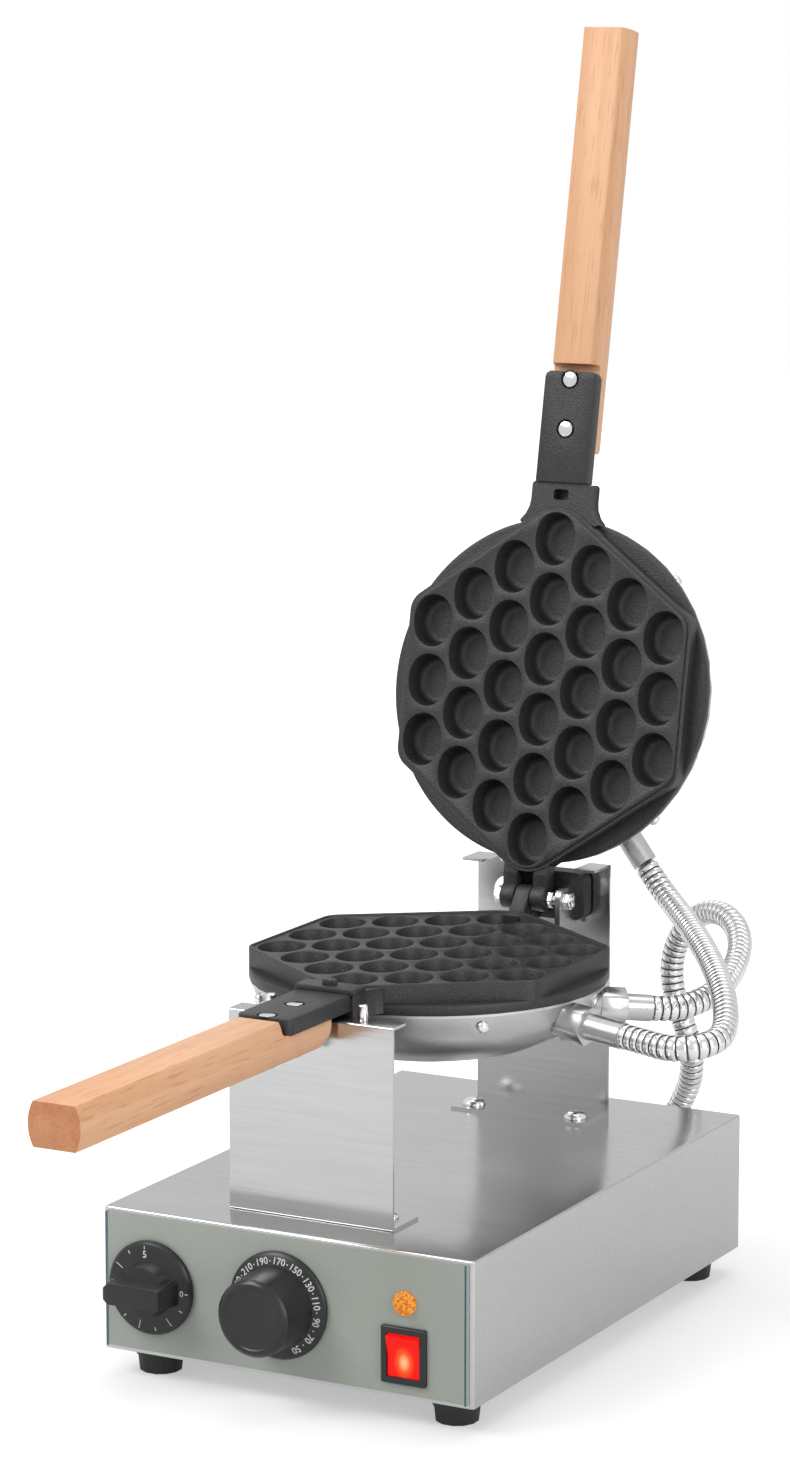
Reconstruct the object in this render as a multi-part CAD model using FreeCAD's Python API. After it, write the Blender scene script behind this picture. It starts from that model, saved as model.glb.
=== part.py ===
"""Electric bubble waffle iron: a hinged pair of cast pans on a steel control box.

Lengths are in millimetres. While the pieces are made, X is across the box, Y runs from the
handle to the hinge, and Z = 0 is the underside of the box. Before they are written, all pieces
move together so that the origin is on the table, under the middle of the whole iron.
"""

import FreeCAD
import Part
import math
import os

Vector = FreeCAD.Vector
Rotation = FreeCAD.Rotation
Placement = FreeCAD.Placement

# Control box
base_width = 221.0
base_depth = 333.0
base_height = 78.2
box_sheet = 1.2
box_edge_radius = 1.6
bottom_sheet = 1.0
bottom_gap = 0.3
vent_length = 34.0
vent_width = 4.0
vent_pitch = 11.0
vent_count = 7
vent_back_share = 0.22

# Feet
foot_height = 15.0
foot_top_diameter = 27.0
foot_diameter = 25.0
foot_collar = 5.0
foot_inset_x = 21.0
foot_inset_y = 22.0
foot_recess_diameter = 11.0
foot_floor = 6.0
foot_screw_diameter = 4.0
foot_screw_head = 8.0
foot_screw_above = 5.0

# Control panel
panel_sheet = 0.8
panel_side_margin = 2.6
panel_top_margin = 2.0
panel_gap = 0.02
shaft_hole_gap = 0.6
timer_x = -80.3
timer_z = 37.8
timer_disc_diameter = 51.0
timer_disc_height = 3.4
timer_hub_diameter = 30.0
timer_hub_height = 11.0
timer_grip_length = 37.0
timer_grip_width = 14.5
timer_grip_height = 22.0
timer_grip_taper = 1.6
timer_body_size = 42.0
timer_body_depth = 30.0
timer_shaft_diameter = 6.0
knob_stand_off = 0.7
knob_bore_gap = 0.05
knob_bore_depth = 13.0
shaft_in_body = 8.0
dial_x = -2.9
dial_z = 39.4
dial_disc_diameter = 58.0
dial_disc_height = 3.2
dial_cap_diameter = 44.0
dial_cap_height = 29.0
dial_cap_draft = 1.2
dial_cap_round = 2.0
dial_cap_dish = 0.6
thermostat_size = 34.0
thermostat_depth = 26.0
lamp_x = 71.2
lamp_z = 51.0
lamp_lens_diameter = 13.4
lamp_lens_height = 4.6
lamp_ring_height = 1.2
lamp_body_diameter = 11.0
lamp_body_length = 24.0
switch_x = 70.9
switch_z = 23.0
switch_width = 26.2
switch_height = 30.6
switch_rim = 2.2
switch_body_width = 21.8
switch_body_height = 26.4
switch_body_depth = 17.0
rocker_width = 18.6
rocker_height = 22.6
rocker_gap = 0.35
rocker_tilt = 7.0
rocker_depth = 7.0
rocker_axis_depth = 3.0
rocker_pin_diameter = 2.4
pin_seat = 0.8
terminal_length = 52.0
terminal_width = 18.0
terminal_height = 16.0
terminal_ways = 4
inlet_width = 27.0
inlet_height = 20.0
inlet_rim = 2.0
inlet_wall = 2.4
inlet_depth = 19.0
inlet_x = -62.0
inlet_z = 40.0
inlet_flange = 3.2
inlet_blade = 1.9
inlet_blade_height = 4.0
inlet_blade_spread = 6.5

# Front support, a bent sheet that the lower pan lies on
support_sheet = 1.5
support_bend = 1.2
front_support_width = 98.0
front_support_rise = 108.8
front_support_y = -139.4
front_top_flange = 14.0
front_bottom_flange = 28.0
support_screw_diameter = 5.0
front_screw_head = 9.0
front_screw_x = 37.0
guide_pin_diameter = 5.3
guide_pin_rise = 8.6
guide_pin_x = 27.5
guide_pin_back = 7.5
guide_pin_nut_height = 4.0
screw_head_share = 0.3
screw_reach = 7.0

# Rear support, a bent sheet that carries the swivel
rear_support_width = 84.0
rear_support_rise = 145.3
rear_support_y = 133.0
rear_top_flange = 21.5
rear_bottom_flange = 35.0
rear_notch_width = 58.0
rear_notch_drop = 3.0
rear_screw_head = 14.0
rear_screw_x = 32.5
rear_hole_diameter = 17.6
rear_hole_x = -23.1
rear_hole_z = 202.0

# Cast pans
face_rise = 120.2
face_gap = 0.2
pan_y = -6.95
cell_columns = (3, 4, 5, 6, 5, 4, 3)
column_pitch = 24.31
cell_pitch = 34.78
cell_width = 25.0
cell_length = 31.0
cell_floor_width = 15.0
cell_depth = 13.4
cell_wall_share = 0.62
cell_wall_draft = 1.1
plate_half_width = 89.0
plate_half_length = 104.0
plate_corner_y = 46.0
plate_skirt = 12.4
tip_radius = 24.0
corner_radius = 13.0
lip_height = 1.0
lip_width = 1.8
lip_gap = 0.45
flange_diameter = 197.0
flange_top = 9.6
flange_bottom = 15.0
flange_round = 1.0
spigot_diameter = 187.0
spigot_wall = 5.0
pan_underside = 19.0
spigot_bottom = 23.6

# Hinge and swivel
hinge_reach = 118.25
hinge_rise = 6.5
hinge_bolt_diameter = 6.0
hinge_running_gap = 0.05
knuckle_diameter = 14.0
knuckle_width = 9.4
ear_diameter = 15.0
ear_width = 9.0
ear_gap = 0.3
ear_arm_height = 12.0
arm_root = 7.0
lid_open_angle = 101.3
bolt_head_width = 9.0
bolt_head_height = 4.0
hinge_nut_width = 9.0
hinge_nut_height = 4.0
washer_gap = 0.3
tab_thickness = 3.2
tab_x = 23.3
tab_front = 7.5
tab_top = 7.2
tab_bottom = 17.4
tab_in_block = 5.5
tail_front = 8.0
tail_width = 30.0
tail_top = 4.0
tail_bottom = 12.9
block_left = -17.0
block_right = 31.0
block_front = 11.2
block_depth = 9.0
block_top = 14.2
block_bottom = 13.4
block_corner = 6.0
tail_screw_x = 10.0
tail_screw_diameter = 5.0
tail_screw_head = 8.0
tail_screw_head_height = 4.0
swivel_diameter = 10.0
swivel_washer_diameter = 20.0
swivel_washer = 1.2
swivel_in_block = 7.0
swivel_bush_wall = 1.5
swivel_bush_flange = 1.0
swivel_bush_flange_diameter = 18.0
swivel_nut_width = 16.0
swivel_nut_height = 6.5
swivel_running_gap = 0.05

# Tang and handle
tang_width = 32.0
tang_end = 188.4
tang_thickness = 8.4
tang_thickness_root = 9.6
tang_drop = 0.4
tang_round = 4.0
block_width = 35.5
block_end = 124.4
block_flare = 21.5
block_raise = 2.2
block_recess = 2.7
block_depth_below = 14.2
lug_length = 8.0
lug_width = 4.6
lug_height = 3.0
lug_y = 118.2
lug_gap = 0.7
handle_end = 384.9
handle_shoulder = 193.0
handle_tongue_end = 143.0
handle_flat_width = 23.7
handle_width = 29.6
handle_height = 22.6
handle_drop = 0.9
handle_round = 9.6
shoulder_round = 2.8
handle_seat_gap = 0.05
handle_screw_near = 155.5
handle_screw_far = 183.8
handle_screw_diameter = 5.0
handle_screw_head = 9.0
handle_screw_head_height = 2.6
handle_nut_width = 8.0
handle_nut_height = 4.2
handle_screw_past = 1.2
screw_hole_gap = 0.25

# Domes under the pans and what they hold
dome_radius = 97.0
dome_depth = 41.5
dome_rim_diameter = 196.0
dome_rim_height = 1.4
dome_rim_gap = 0.1
dome_wall = 1.1
dome_band_angles = (0, 14, 32, 50, 68, 86)
dome_low_share = 0.42
dome_low_rise_share = 0.1
dome_high_share = 0.76
dome_high_rise_share = 0.36
dome_screw_diameter = 4.0
dome_screw_head = 7.0
dome_screw_drop = 22.2
dome_screw_reach = 6.0
element_radius = 58.0
element_diameter = 7.0
element_gap = 0.1
element_open_angle = 24.0

# Hose fittings and the two steel hoses
hose_diameter = 14.0
hose_bore = 9.6
hose_rib_pitch = 9.8
hose_rib_depth = 0.8
rib_slope_share = 0.17
fitting_nut_width = 19.0
fitting_nut_length = 15.0
sleeve_diameter = 14.6
link_sleeve_length = 23.0
supply_sleeve_length = 15.0
fitting_bore = 9.6
gland_length = 12.0
gland_thread = 8.0
# Each fitting: turn round the dome, drop below its rim, heading, downward tilt
link_lower_fitting = (-11.0, 10.0, -11.0, 4.0)
link_upper_fitting = (65.0, 28.0, 52.0, 6.0)
supply_fitting_place = (15.0, 10.5, 40.0, 6.0)
gland_x = 44.0
gland_z = 45.0

# The hoses' routes, from fitting to fitting; their ends are worked out from the fittings
link_route = [
    (80.0, 142.0, 200.0),
    (105.3, 110.0, 195.5),
    (130.3, 75.0, 190.9),
    (152.7, 40.0, 186.4),
    (168.3, 13.0, 180.5),
    (178.5, -10.0, 172.5),
    (179.0, -26.0, 170.0),
    (171.0, -37.5, 168.5),
    (158.0, -39.5, 167.5),
]
supply_route = [
    (133.2, 62.0, 169.8),
    (134.0, 82.0, 171.8),
    (130.5, 106.0, 175.6),
    (125.2, 130.0, 182.8),
    (114.0, 151.0, 190.8),
    (99.0, 165.0, 195.3),
    (81.8, 177.0, 192.2),
    (66.4, 186.0, 181.5),
    (57.2, 190.0, 166.7),
    (54.3, 191.0, 151.4),
    (57.1, 191.0, 135.6),
    (63.5, 190.0, 121.0),
    (67.4, 193.0, 105.9),
    (64.4, 200.0, 90.2),
    (58.0, 209.0, 78.0),
    (50.0, 212.5, 64.0),
    (45.5, 208.0, 51.5),
]
route_step_share = 0.45
cut_overrun = 1.0
small_sides = 12
knob_sides = 36
ring_sides = 40
hose_sides = 10
element_sides = 36
cell_sides = 12
flat_limit = 1e-6
settle_turns = 20
path_samples = 60

# Shares of a size that shape the small parts
half_share = 0.5
head_crown_share = 0.3
head_high_share = 0.86
head_brow_share = 0.46
head_mid_share = 0.45
top_edge_share = 0.9
collar_end_share = 1.3
foot_taper_share = 0.2
case_height_share = 0.8
case_step_share = 0.62
case_step_depth_share = 0.5
shaft_flat_share = 0.28
shaft_flat_length_share = 0.8
bore_flat_length_share = 0.7
disc_rim_share = 0.6
disc_edge_share = 0.45
disc_bevel_share = 0.4
disc_crown_share = 1.3
grip_corner_shares = (
    (-1, -0.55),
    (-0.85, -1),
    (0.9, -1),
    (1, -0.8),
    (1, 0.8),
    (0.9, 1),
    (-0.85, 1),
    (-1, 0.55),
)
thermostat_case_share = 0.6
thermostat_cap_share = 0.8
lamp_clip_share = 1.3
lens_shares = ((0.93, 0.32), (0.82, 0.62), (0.5, 0.92), (0, 1))
bezel_round_share = 0.5
bezel_chamfer_share = 0.3
rocker_sink_share = 0.5
rocker_end_share = 0.97
rocker_side_share = 0.5
rocker_keel_share = 0.35
rocker_keel_width_share = 0.45
terminal_place_share = 0.12
terminal_bore_share = 0.4
terminal_screw_share = 0.36
blade_step_share = 0.6
blade_end_share = 1.5
front_screw_share = 0.72
rear_screw_share = 0.66
pin_thread_share = 0.7
pin_end_share = 1.2
pin_bevel_share = 0.2
pin_nut_share = 1.5
socket_share = 0.8
socket_depth_share = 0.6
tab_round_share = 0.7
gate_share = 0.22
block_neck_share = 0.45
block_root_share = 0.35
lug_round_share = 0.4
nut_corner_share = 1.1
nut_foot_share = 0.92
nut_foot_length_share = 1.2

# Places that follow from the sizes above
face_z = base_height + face_rise
hinge_y = pan_y + hinge_reach
hinge_z = face_z + hinge_rise
box_front = -base_depth / 2
box_back = base_depth / 2
panel_face = box_front - panel_gap - panel_sheet
hinge_point = Vector(0, hinge_y, hinge_z)
across = Vector(1, 0, 0)
back = Vector(0, 1, 0)
up = Vector(0, 0, 1)


def box(x_low, x_high, y_low, y_high, z_low, z_high):
    """A block between two corners."""
    return Part.makeBox(x_high - x_low, y_high - y_low, z_high - z_low, Vector(x_low, y_low, z_low))


def rod(diameter, start, direction, length):
    """A round bar from a point along a direction."""
    return Part.makeCylinder(diameter / 2, length, start, direction)


def bar(diameter, start, direction, length):
    """A round bar in flat facets, for holes and shanks that nothing turns in."""
    radius = diameter / 2
    return spun([(0, 0), (radius, 0), (radius, length), (0, length)], start, direction)


def tube(outer, inner, start, direction, length):
    """A round tube from a point along a direction."""
    overrun = direction * cut_overrun
    bore = rod(inner, start - overrun, direction, length + 2 * cut_overrun)
    return rod(outer, start, direction, length).cut(bore)


def hexagon(width, start, direction, length):
    """A hexagonal bar, given its width across the flats."""
    corner = width / math.sqrt(3)
    turns = [math.pi / 3 * (i + half_share) for i in range(7)]
    outline = Part.makePolygon([Vector(corner * math.cos(t), corner * math.sin(t), 0) for t in turns])
    prism = Part.Face(outline).extrude(up * length)
    prism.Placement = Placement(start, Rotation(up, direction))
    return prism


def nut(width, bore, start, direction, length):
    """A plain hexagonal nut."""
    overrun = direction * cut_overrun
    hole = bar(bore, start - overrun, direction, length + 2 * cut_overrun)
    return hexagon(width, start, direction, length).cut(hole)


def spun(points, start, direction, sides=small_sides):
    """A turned piece with flat facets: half its section as pairs of radius and height."""
    turns = [2 * math.pi * (i + half_share) / sides for i in range(sides)]
    rings = []
    for radius, height in points:
        if radius > 0:
            rings.append([Vector(radius * math.cos(t), radius * math.sin(t), height) for t in turns])
        else:
            rings.append([Vector(0, 0, height)])
    faces = []
    bored = points[0][0] > 0 and points[-1][0] > 0
    pairs = list(zip(rings, rings[1:]))
    if bored:
        pairs.append((rings[-1], rings[0]))
    for near, far in pairs:
        if len(near) == 1 or len(far) == 1:
            rim = near if len(far) == 1 else far
            hub = far if len(far) == 1 else near
            if abs(rim[0].z - hub[0].z) < flat_limit:
                faces.append(Part.Face(Part.makePolygon(rim + [rim[0]])))
                continue
            for i in range(sides):
                corners = [rim[i], rim[(i + 1) % sides], hub[0]]
                faces.append(Part.Face(Part.makePolygon(corners + [corners[0]])))
            continue
        if abs(near[0].z - far[0].z) < flat_limit:
            wide, narrow = sorted((near, far), key=lambda ring: -ring[0].Length)
            outer = Part.Face(Part.makePolygon(wide + [wide[0]]))
            faces += outer.cut(Part.Face(Part.makePolygon(narrow + [narrow[0]]))).Faces
            continue
        for i in range(sides):
            k = (i + 1) % sides
            corners = [near[i], near[k], far[k], far[i]]
            faces.append(Part.Face(Part.makePolygon(corners + [corners[0]])))
    shell = Part.makeShell(faces)
    shell.sewShape()
    solid = Part.Solid(shell)
    if solid.Volume < 0:
        solid.reverse()
    solid.Placement = Placement(start, Rotation(up, direction))
    return solid


def plan(points, z_low, z_high):
    """A prism from an outline in plan."""
    corners = [Vector(x, y, z_low) for x, y in points]
    return Part.Face(Part.makePolygon(corners + [corners[0]])).extrude(up * (z_high - z_low))


def side(points, x_low, x_high):
    """A prism from an outline seen from the side, as pairs of Y and Z."""
    corners = [Vector(x_low, y, z) for y, z in points]
    return Part.Face(Part.makePolygon(corners + [corners[0]])).extrude(across * (x_high - x_low))


def fillet_along(shape, direction, radius, keep=lambda edge: True):
    """Rounds the straight edges that run along a direction."""
    edges = []
    for edge in shape.Edges:
        if not isinstance(edge.Curve, Part.Line):
            continue
        run = edge.Vertexes[1].Point - edge.Vertexes[0].Point
        if run.cross(direction).Length < flat_limit * run.Length and keep(edge):
            edges.append(edge)
    return shape.makeFillet(radius, edges)


def fuse(pieces):
    """One solid from pieces that touch or overlap."""
    return pieces[0].multiFuse(pieces[1:]).removeSplitter()


def pan_head_screw(diameter, head, seat, direction, reach):
    """A screw whose low round head stands on its seat; the shank runs along the direction."""
    height = head * screw_head_share
    points = [
        (0, -height),
        (head * head_crown_share, -height * head_high_share),
        (head * head_brow_share, -height * head_mid_share),
        (head / 2, 0),
        (diameter / 2, 0),
        (diameter / 2, reach),
        (0, reach),
    ]
    return spun(points, seat, direction)


# Control box
def base_housing():
    shell = box(-base_width / 2, base_width / 2, box_front, box_back, 0, base_height)
    shell = fillet_along(shell, up, box_edge_radius)
    top_edges = [e for e in shell.Edges if min(v.Z for v in e.Vertexes) > base_height - flat_limit]
    shell = shell.makeFillet(box_edge_radius * top_edge_share, top_edges)
    inside = base_width / 2 - box_sheet
    front = box_front + box_sheet
    rear = box_back - box_sheet
    shell = shell.cut(box(-inside, inside, front, rear, -cut_overrun, base_height - box_sheet))
    cuts = panel_cuts(box_front - cut_overrun, box_sheet + 2 * cut_overrun)
    wall = box_back - box_sheet - cut_overrun
    through = box_sheet + 2 * cut_overrun
    cuts.append(rod(gland_thread_diameter(), Vector(gland_x, wall, gland_z), back, through))
    cuts.append(
        box(
            inlet_x - inlet_width / 2 - shaft_hole_gap,
            inlet_x + inlet_width / 2 + shaft_hole_gap,
            wall,
            wall + through,
            inlet_z - inlet_height / 2 - shaft_hole_gap,
            inlet_z + inlet_height / 2 + shaft_hole_gap,
        )
    )
    for seat in support_screw_seats():
        cuts.append(
            bar(
                support_screw_diameter,
                Vector(seat.x, seat.y, base_height - box_sheet - cut_overrun),
                up,
                box_sheet + 2 * cut_overrun,
            )
        )
    return shell.cut(cuts)


def panel_cuts(start_y, length):
    """Holes for what comes through the front wall and the panel."""
    return [
        bar(timer_shaft_diameter + 2 * shaft_hole_gap, Vector(timer_x, start_y, timer_z), back, length),
        bar(timer_shaft_diameter + 2 * shaft_hole_gap, Vector(dial_x, start_y, dial_z), back, length),
        bar(lamp_body_diameter + 2 * knob_bore_gap, Vector(lamp_x, start_y, lamp_z), back, length),
        box(
            switch_x - switch_body_width / 2 - knob_bore_gap,
            switch_x + switch_body_width / 2 + knob_bore_gap,
            start_y,
            start_y + length,
            switch_z - switch_body_height / 2 - knob_bore_gap,
            switch_z + switch_body_height / 2 + knob_bore_gap,
        ),
    ]


def bottom_plate():
    inside_x = base_width / 2 - box_sheet - bottom_gap
    inside_y = base_depth / 2 - box_sheet - bottom_gap
    plate = box(-inside_x, inside_x, -inside_y, inside_y, 0, bottom_sheet)
    cuts = []
    for x, y in foot_places():
        cuts.append(bar(foot_screw_diameter, Vector(x, y, -cut_overrun), up, bottom_sheet + 2 * cut_overrun))
    first = -vent_pitch * (vent_count - 1) / 2
    for row in (-vent_back_share, vent_back_share):
        for i in range(vent_count):
            middle = first + i * vent_pitch
            y = row * base_depth
            slot = box(
                middle - vent_width / 2,
                middle + vent_width / 2,
                y - vent_length / 2,
                y + vent_length / 2,
                -cut_overrun,
                bottom_sheet + cut_overrun,
            )
            cuts.append(slot)
    return plate.cut(cuts)


def foot_places():
    x = base_width / 2 - foot_inset_x
    y = base_depth / 2 - foot_inset_y
    return [(-x, -y), (x, -y), (-x, y), (x, y)]


def rubber_feet():
    feet = []
    for x, y in foot_places():
        points = [
            (foot_screw_diameter / 2, 0),
            (foot_top_diameter / 2, 0),
            (foot_top_diameter / 2, -foot_collar),
            (foot_diameter / 2, -foot_collar * collar_end_share),
            (foot_diameter / 2 - foot_collar * foot_taper_share, -foot_height),
            (foot_recess_diameter / 2, -foot_height),
            (foot_recess_diameter / 2, -foot_floor),
            (foot_screw_diameter / 2, -foot_floor),
        ]
        feet.append(spun(points, Vector(x, y, 0), up))
    return Part.makeCompound(feet)


def foot_screws():
    screws = []
    for x, y in foot_places():
        reach = foot_floor + bottom_sheet + foot_screw_above
        seat = Vector(x, y, -foot_floor)
        screws.append(pan_head_screw(foot_screw_diameter, foot_screw_head, seat, up, reach))
    return Part.makeCompound(screws)


def control_panel():
    half = base_width / 2 - panel_side_margin
    film = box(
        -half,
        half,
        panel_face,
        box_front - panel_gap,
        panel_top_margin,
        base_height - panel_top_margin,
    )
    return film.cut(panel_cuts(panel_face - cut_overrun, panel_sheet + 2 * cut_overrun))


# Timer
def timer_body():
    half = timer_body_size / 2
    inner_face = box_front + box_sheet
    case = box(
        timer_x - half,
        timer_x + half,
        inner_face,
        inner_face + timer_body_depth,
        timer_z - half * case_height_share,
        timer_z + half * case_height_share,
    )
    step = box(
        timer_x + half * case_step_share,
        timer_x + half + cut_overrun,
        inner_face + timer_body_depth * case_step_depth_share,
        inner_face + timer_body_depth + cut_overrun,
        0,
        base_height,
    )
    case = case.cut(step)
    bore = rod(
        timer_shaft_diameter + 2 * knob_bore_gap,
        Vector(timer_x, inner_face - cut_overrun, timer_z),
        back,
        shaft_in_body + knob_bore_gap + cut_overrun,
    )
    return case.cut(bore)


def control_shaft(x, z):
    """A D-ended control shaft from inside its works to inside its knob."""
    front = panel_face - knob_stand_off - knob_bore_depth + knob_bore_gap
    length = box_front + box_sheet + shaft_in_body - front
    shaft = rod(timer_shaft_diameter, Vector(x, front, z), back, length)
    flat = timer_shaft_diameter * shaft_flat_share
    half = timer_shaft_diameter / 2
    end = front + knob_bore_depth * shaft_flat_length_share
    return shaft.cut(box(x - half, x + half, front - cut_overrun, end, z + flat, z + half + cut_overrun))


def knob_bore(x, z):
    """The D-shaped hole in the back of a knob."""
    back_face = panel_face - knob_stand_off
    start = back_face - knob_bore_depth
    hole = rod(
        timer_shaft_diameter + 2 * knob_bore_gap,
        Vector(x, start, z),
        back,
        knob_bore_depth + cut_overrun,
    )
    flat = timer_shaft_diameter * shaft_flat_share + knob_bore_gap
    half = timer_shaft_diameter
    end = start + knob_bore_depth * bore_flat_length_share
    return hole.cut(box(x - half, x + half, start - cut_overrun, end, z + flat, z + half))


def timer_knob():
    back_face = panel_face - knob_stand_off
    disc = spun(
        [
            (0, 0),
            (timer_disc_diameter / 2, 0),
            (timer_disc_diameter / 2, timer_disc_height * disc_rim_share),
            (timer_disc_diameter / 2 - timer_disc_height * disc_bevel_share, timer_disc_height),
            (timer_hub_diameter / 2, timer_disc_height * disc_crown_share),
            (timer_hub_diameter / 2 - timer_grip_taper, timer_hub_height),
            (0, timer_hub_height),
        ],
        Vector(timer_x, back_face, timer_z),
        -back,
        knob_sides,
    )
    tip_x = timer_grip_length / 2
    near = timer_grip_width / 2
    top = timer_grip_width / 2 - timer_grip_taper
    grip = Part.makeLoft(
        [
            grip_outline(tip_x, near, back_face - timer_disc_height),
            grip_outline(tip_x - timer_grip_taper, top, back_face - timer_grip_height),
        ],
        True,
        True,
    )
    return fuse([disc, grip]).cut(knob_bore(timer_x, timer_z))


def grip_outline(half_length, half_width, y):
    """The outline of the wing grip: square at one end, blunt at the pointing end."""
    corners = []
    for along, wide in grip_corner_shares:
        corners.append(Vector(timer_x + along * half_length, y, timer_z + wide * half_width))
    return Part.makePolygon(corners + [corners[0]])


# Thermostat
def thermostat_body():
    half = thermostat_size / 2
    inner_face = box_front + box_sheet
    case = box(
        dial_x - half,
        dial_x + half,
        inner_face,
        inner_face + thermostat_depth * thermostat_case_share,
        dial_z - half,
        dial_z + half,
    )
    cap = bar(
        thermostat_size * thermostat_cap_share,
        Vector(dial_x, inner_face + thermostat_depth * thermostat_case_share, dial_z),
        back,
        thermostat_depth * (1 - thermostat_case_share),
    )
    bore = rod(
        timer_shaft_diameter + 2 * knob_bore_gap,
        Vector(dial_x, inner_face - cut_overrun, dial_z),
        back,
        shaft_in_body + knob_bore_gap + cut_overrun,
    )
    return fuse([case, cap]).cut(bore)


def thermostat_knob():
    back_face = panel_face - knob_stand_off
    rim = dial_disc_diameter / 2
    cap = dial_cap_diameter / 2
    points = [
        (0, 0),
        (rim, 0),
        (rim, dial_disc_height * disc_edge_share),
        (rim - dial_disc_height * disc_rim_share, dial_disc_height),
        (cap, dial_disc_height * disc_crown_share),
        (cap - dial_cap_draft, dial_cap_height - dial_cap_round),
        (cap - dial_cap_draft - dial_cap_round, dial_cap_height),
        (cap - dial_cap_draft - 2 * dial_cap_round, dial_cap_height),
        (cap - dial_cap_draft - 2 * dial_cap_round - dial_cap_dish, dial_cap_height - dial_cap_dish),
        (0, dial_cap_height - dial_cap_dish),
    ]
    knob = spun(points, Vector(dial_x, back_face, dial_z), -back, knob_sides)
    return knob.cut(knob_bore(dial_x, dial_z))


# Pilot lamp
def lamp_body():
    neck = bar(
        lamp_body_diameter,
        Vector(lamp_x, panel_face, lamp_z),
        back,
        lamp_body_length,
    )
    clip = bar(
        lamp_body_diameter * lamp_clip_share,
        Vector(lamp_x, box_front + box_sheet, lamp_z),
        back,
        lamp_ring_height,
    )
    return fuse([neck, clip])


def lamp_lens():
    radius = lamp_lens_diameter / 2
    points = [
        (0, 0),
        (radius, 0),
        (radius, lamp_ring_height),
    ]
    points += [(radius * wide, lamp_lens_height * high) for wide, high in lens_shares]
    return spun(points, Vector(lamp_x, panel_face, lamp_z), -back)


# Rocker switch
def rocker_bezel():
    front = panel_face - switch_rim
    frame = box(
        switch_x - switch_width / 2,
        switch_x + switch_width / 2,
        front,
        panel_face,
        switch_z - switch_height / 2,
        switch_z + switch_height / 2,
    )
    frame = fillet_along(frame, back, switch_rim * bezel_round_share)
    front_edges = [e for e in frame.Edges if max(v.Y for v in e.Vertexes) < front + flat_limit]
    frame = frame.makeChamfer(switch_rim * bezel_chamfer_share, front_edges)
    case = box(
        switch_x - switch_body_width / 2,
        switch_x + switch_body_width / 2,
        panel_face,
        panel_face + switch_body_depth,
        switch_z - switch_body_height / 2,
        switch_z + switch_body_height / 2,
    )
    well = box(
        switch_x - rocker_width / 2 - rocker_gap,
        switch_x + rocker_width / 2 + rocker_gap,
        front - cut_overrun,
        panel_face + rocker_depth + rocker_axis_depth,
        switch_z - rocker_height / 2 - rocker_gap,
        switch_z + rocker_height / 2 + rocker_gap,
    )
    pin_reach = rocker_width / 2 + rocker_gap + cut_overrun
    pin_hole = rod(
        rocker_pin_diameter + 2 * hinge_running_gap,
        Vector(switch_x - pin_reach, panel_face + rocker_axis_depth, switch_z),
        across,
        2 * pin_reach,
    )
    return fuse([frame, case]).cut([well, pin_hole])


def rocker_button():
    """The rocker at rest in its ON position, its lower half pressed in."""
    front = panel_face - switch_rim * rocker_sink_share
    axis_y = panel_face + rocker_axis_depth
    half = rocker_height / 2
    lift = half * math.tan(math.radians(rocker_tilt))
    outline = [
        (front - lift, switch_z + half * rocker_end_share),
        (front, switch_z),
        (front - lift, switch_z - half * rocker_end_share),
        (front + rocker_depth * rocker_side_share, switch_z - half),
        (axis_y + rocker_depth * rocker_keel_share, switch_z - half * rocker_keel_width_share),
        (axis_y + rocker_depth * rocker_keel_share, switch_z + half * rocker_keel_width_share),
        (front + rocker_depth * rocker_side_share, switch_z + half),
    ]
    key = side(outline, switch_x - rocker_width / 2, switch_x + rocker_width / 2)
    pin = rod(
        rocker_pin_diameter,
        Vector(switch_x - rocker_width / 2 - rocker_gap - pin_seat, axis_y, switch_z),
        across,
        rocker_width + 2 * (rocker_gap + pin_seat),
    )
    button = fuse([key, pin])
    button.rotate(Vector(switch_x, axis_y, switch_z), across, rocker_tilt)
    return button


# Inside the box and on its back wall
def terminal_block():
    y = base_depth * terminal_place_share
    z = bottom_sheet
    block = box(-terminal_length / 2, terminal_length / 2, y, y + terminal_width, z, z + terminal_height)
    cuts = []
    way = terminal_length / terminal_ways
    for i in range(terminal_ways):
        x = -terminal_length / 2 + way * (i + half_share)
        bore_z = z + terminal_height * terminal_bore_share
        through = terminal_width + 2 * cut_overrun
        cuts.append(bar(way * terminal_bore_share, Vector(x, y - cut_overrun, bore_z), back, through))
        middle = Vector(x, y + terminal_width / 2, bore_z)
        cuts.append(bar(way * terminal_screw_share, middle, up, terminal_height))
    return block.cut(cuts)


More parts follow.
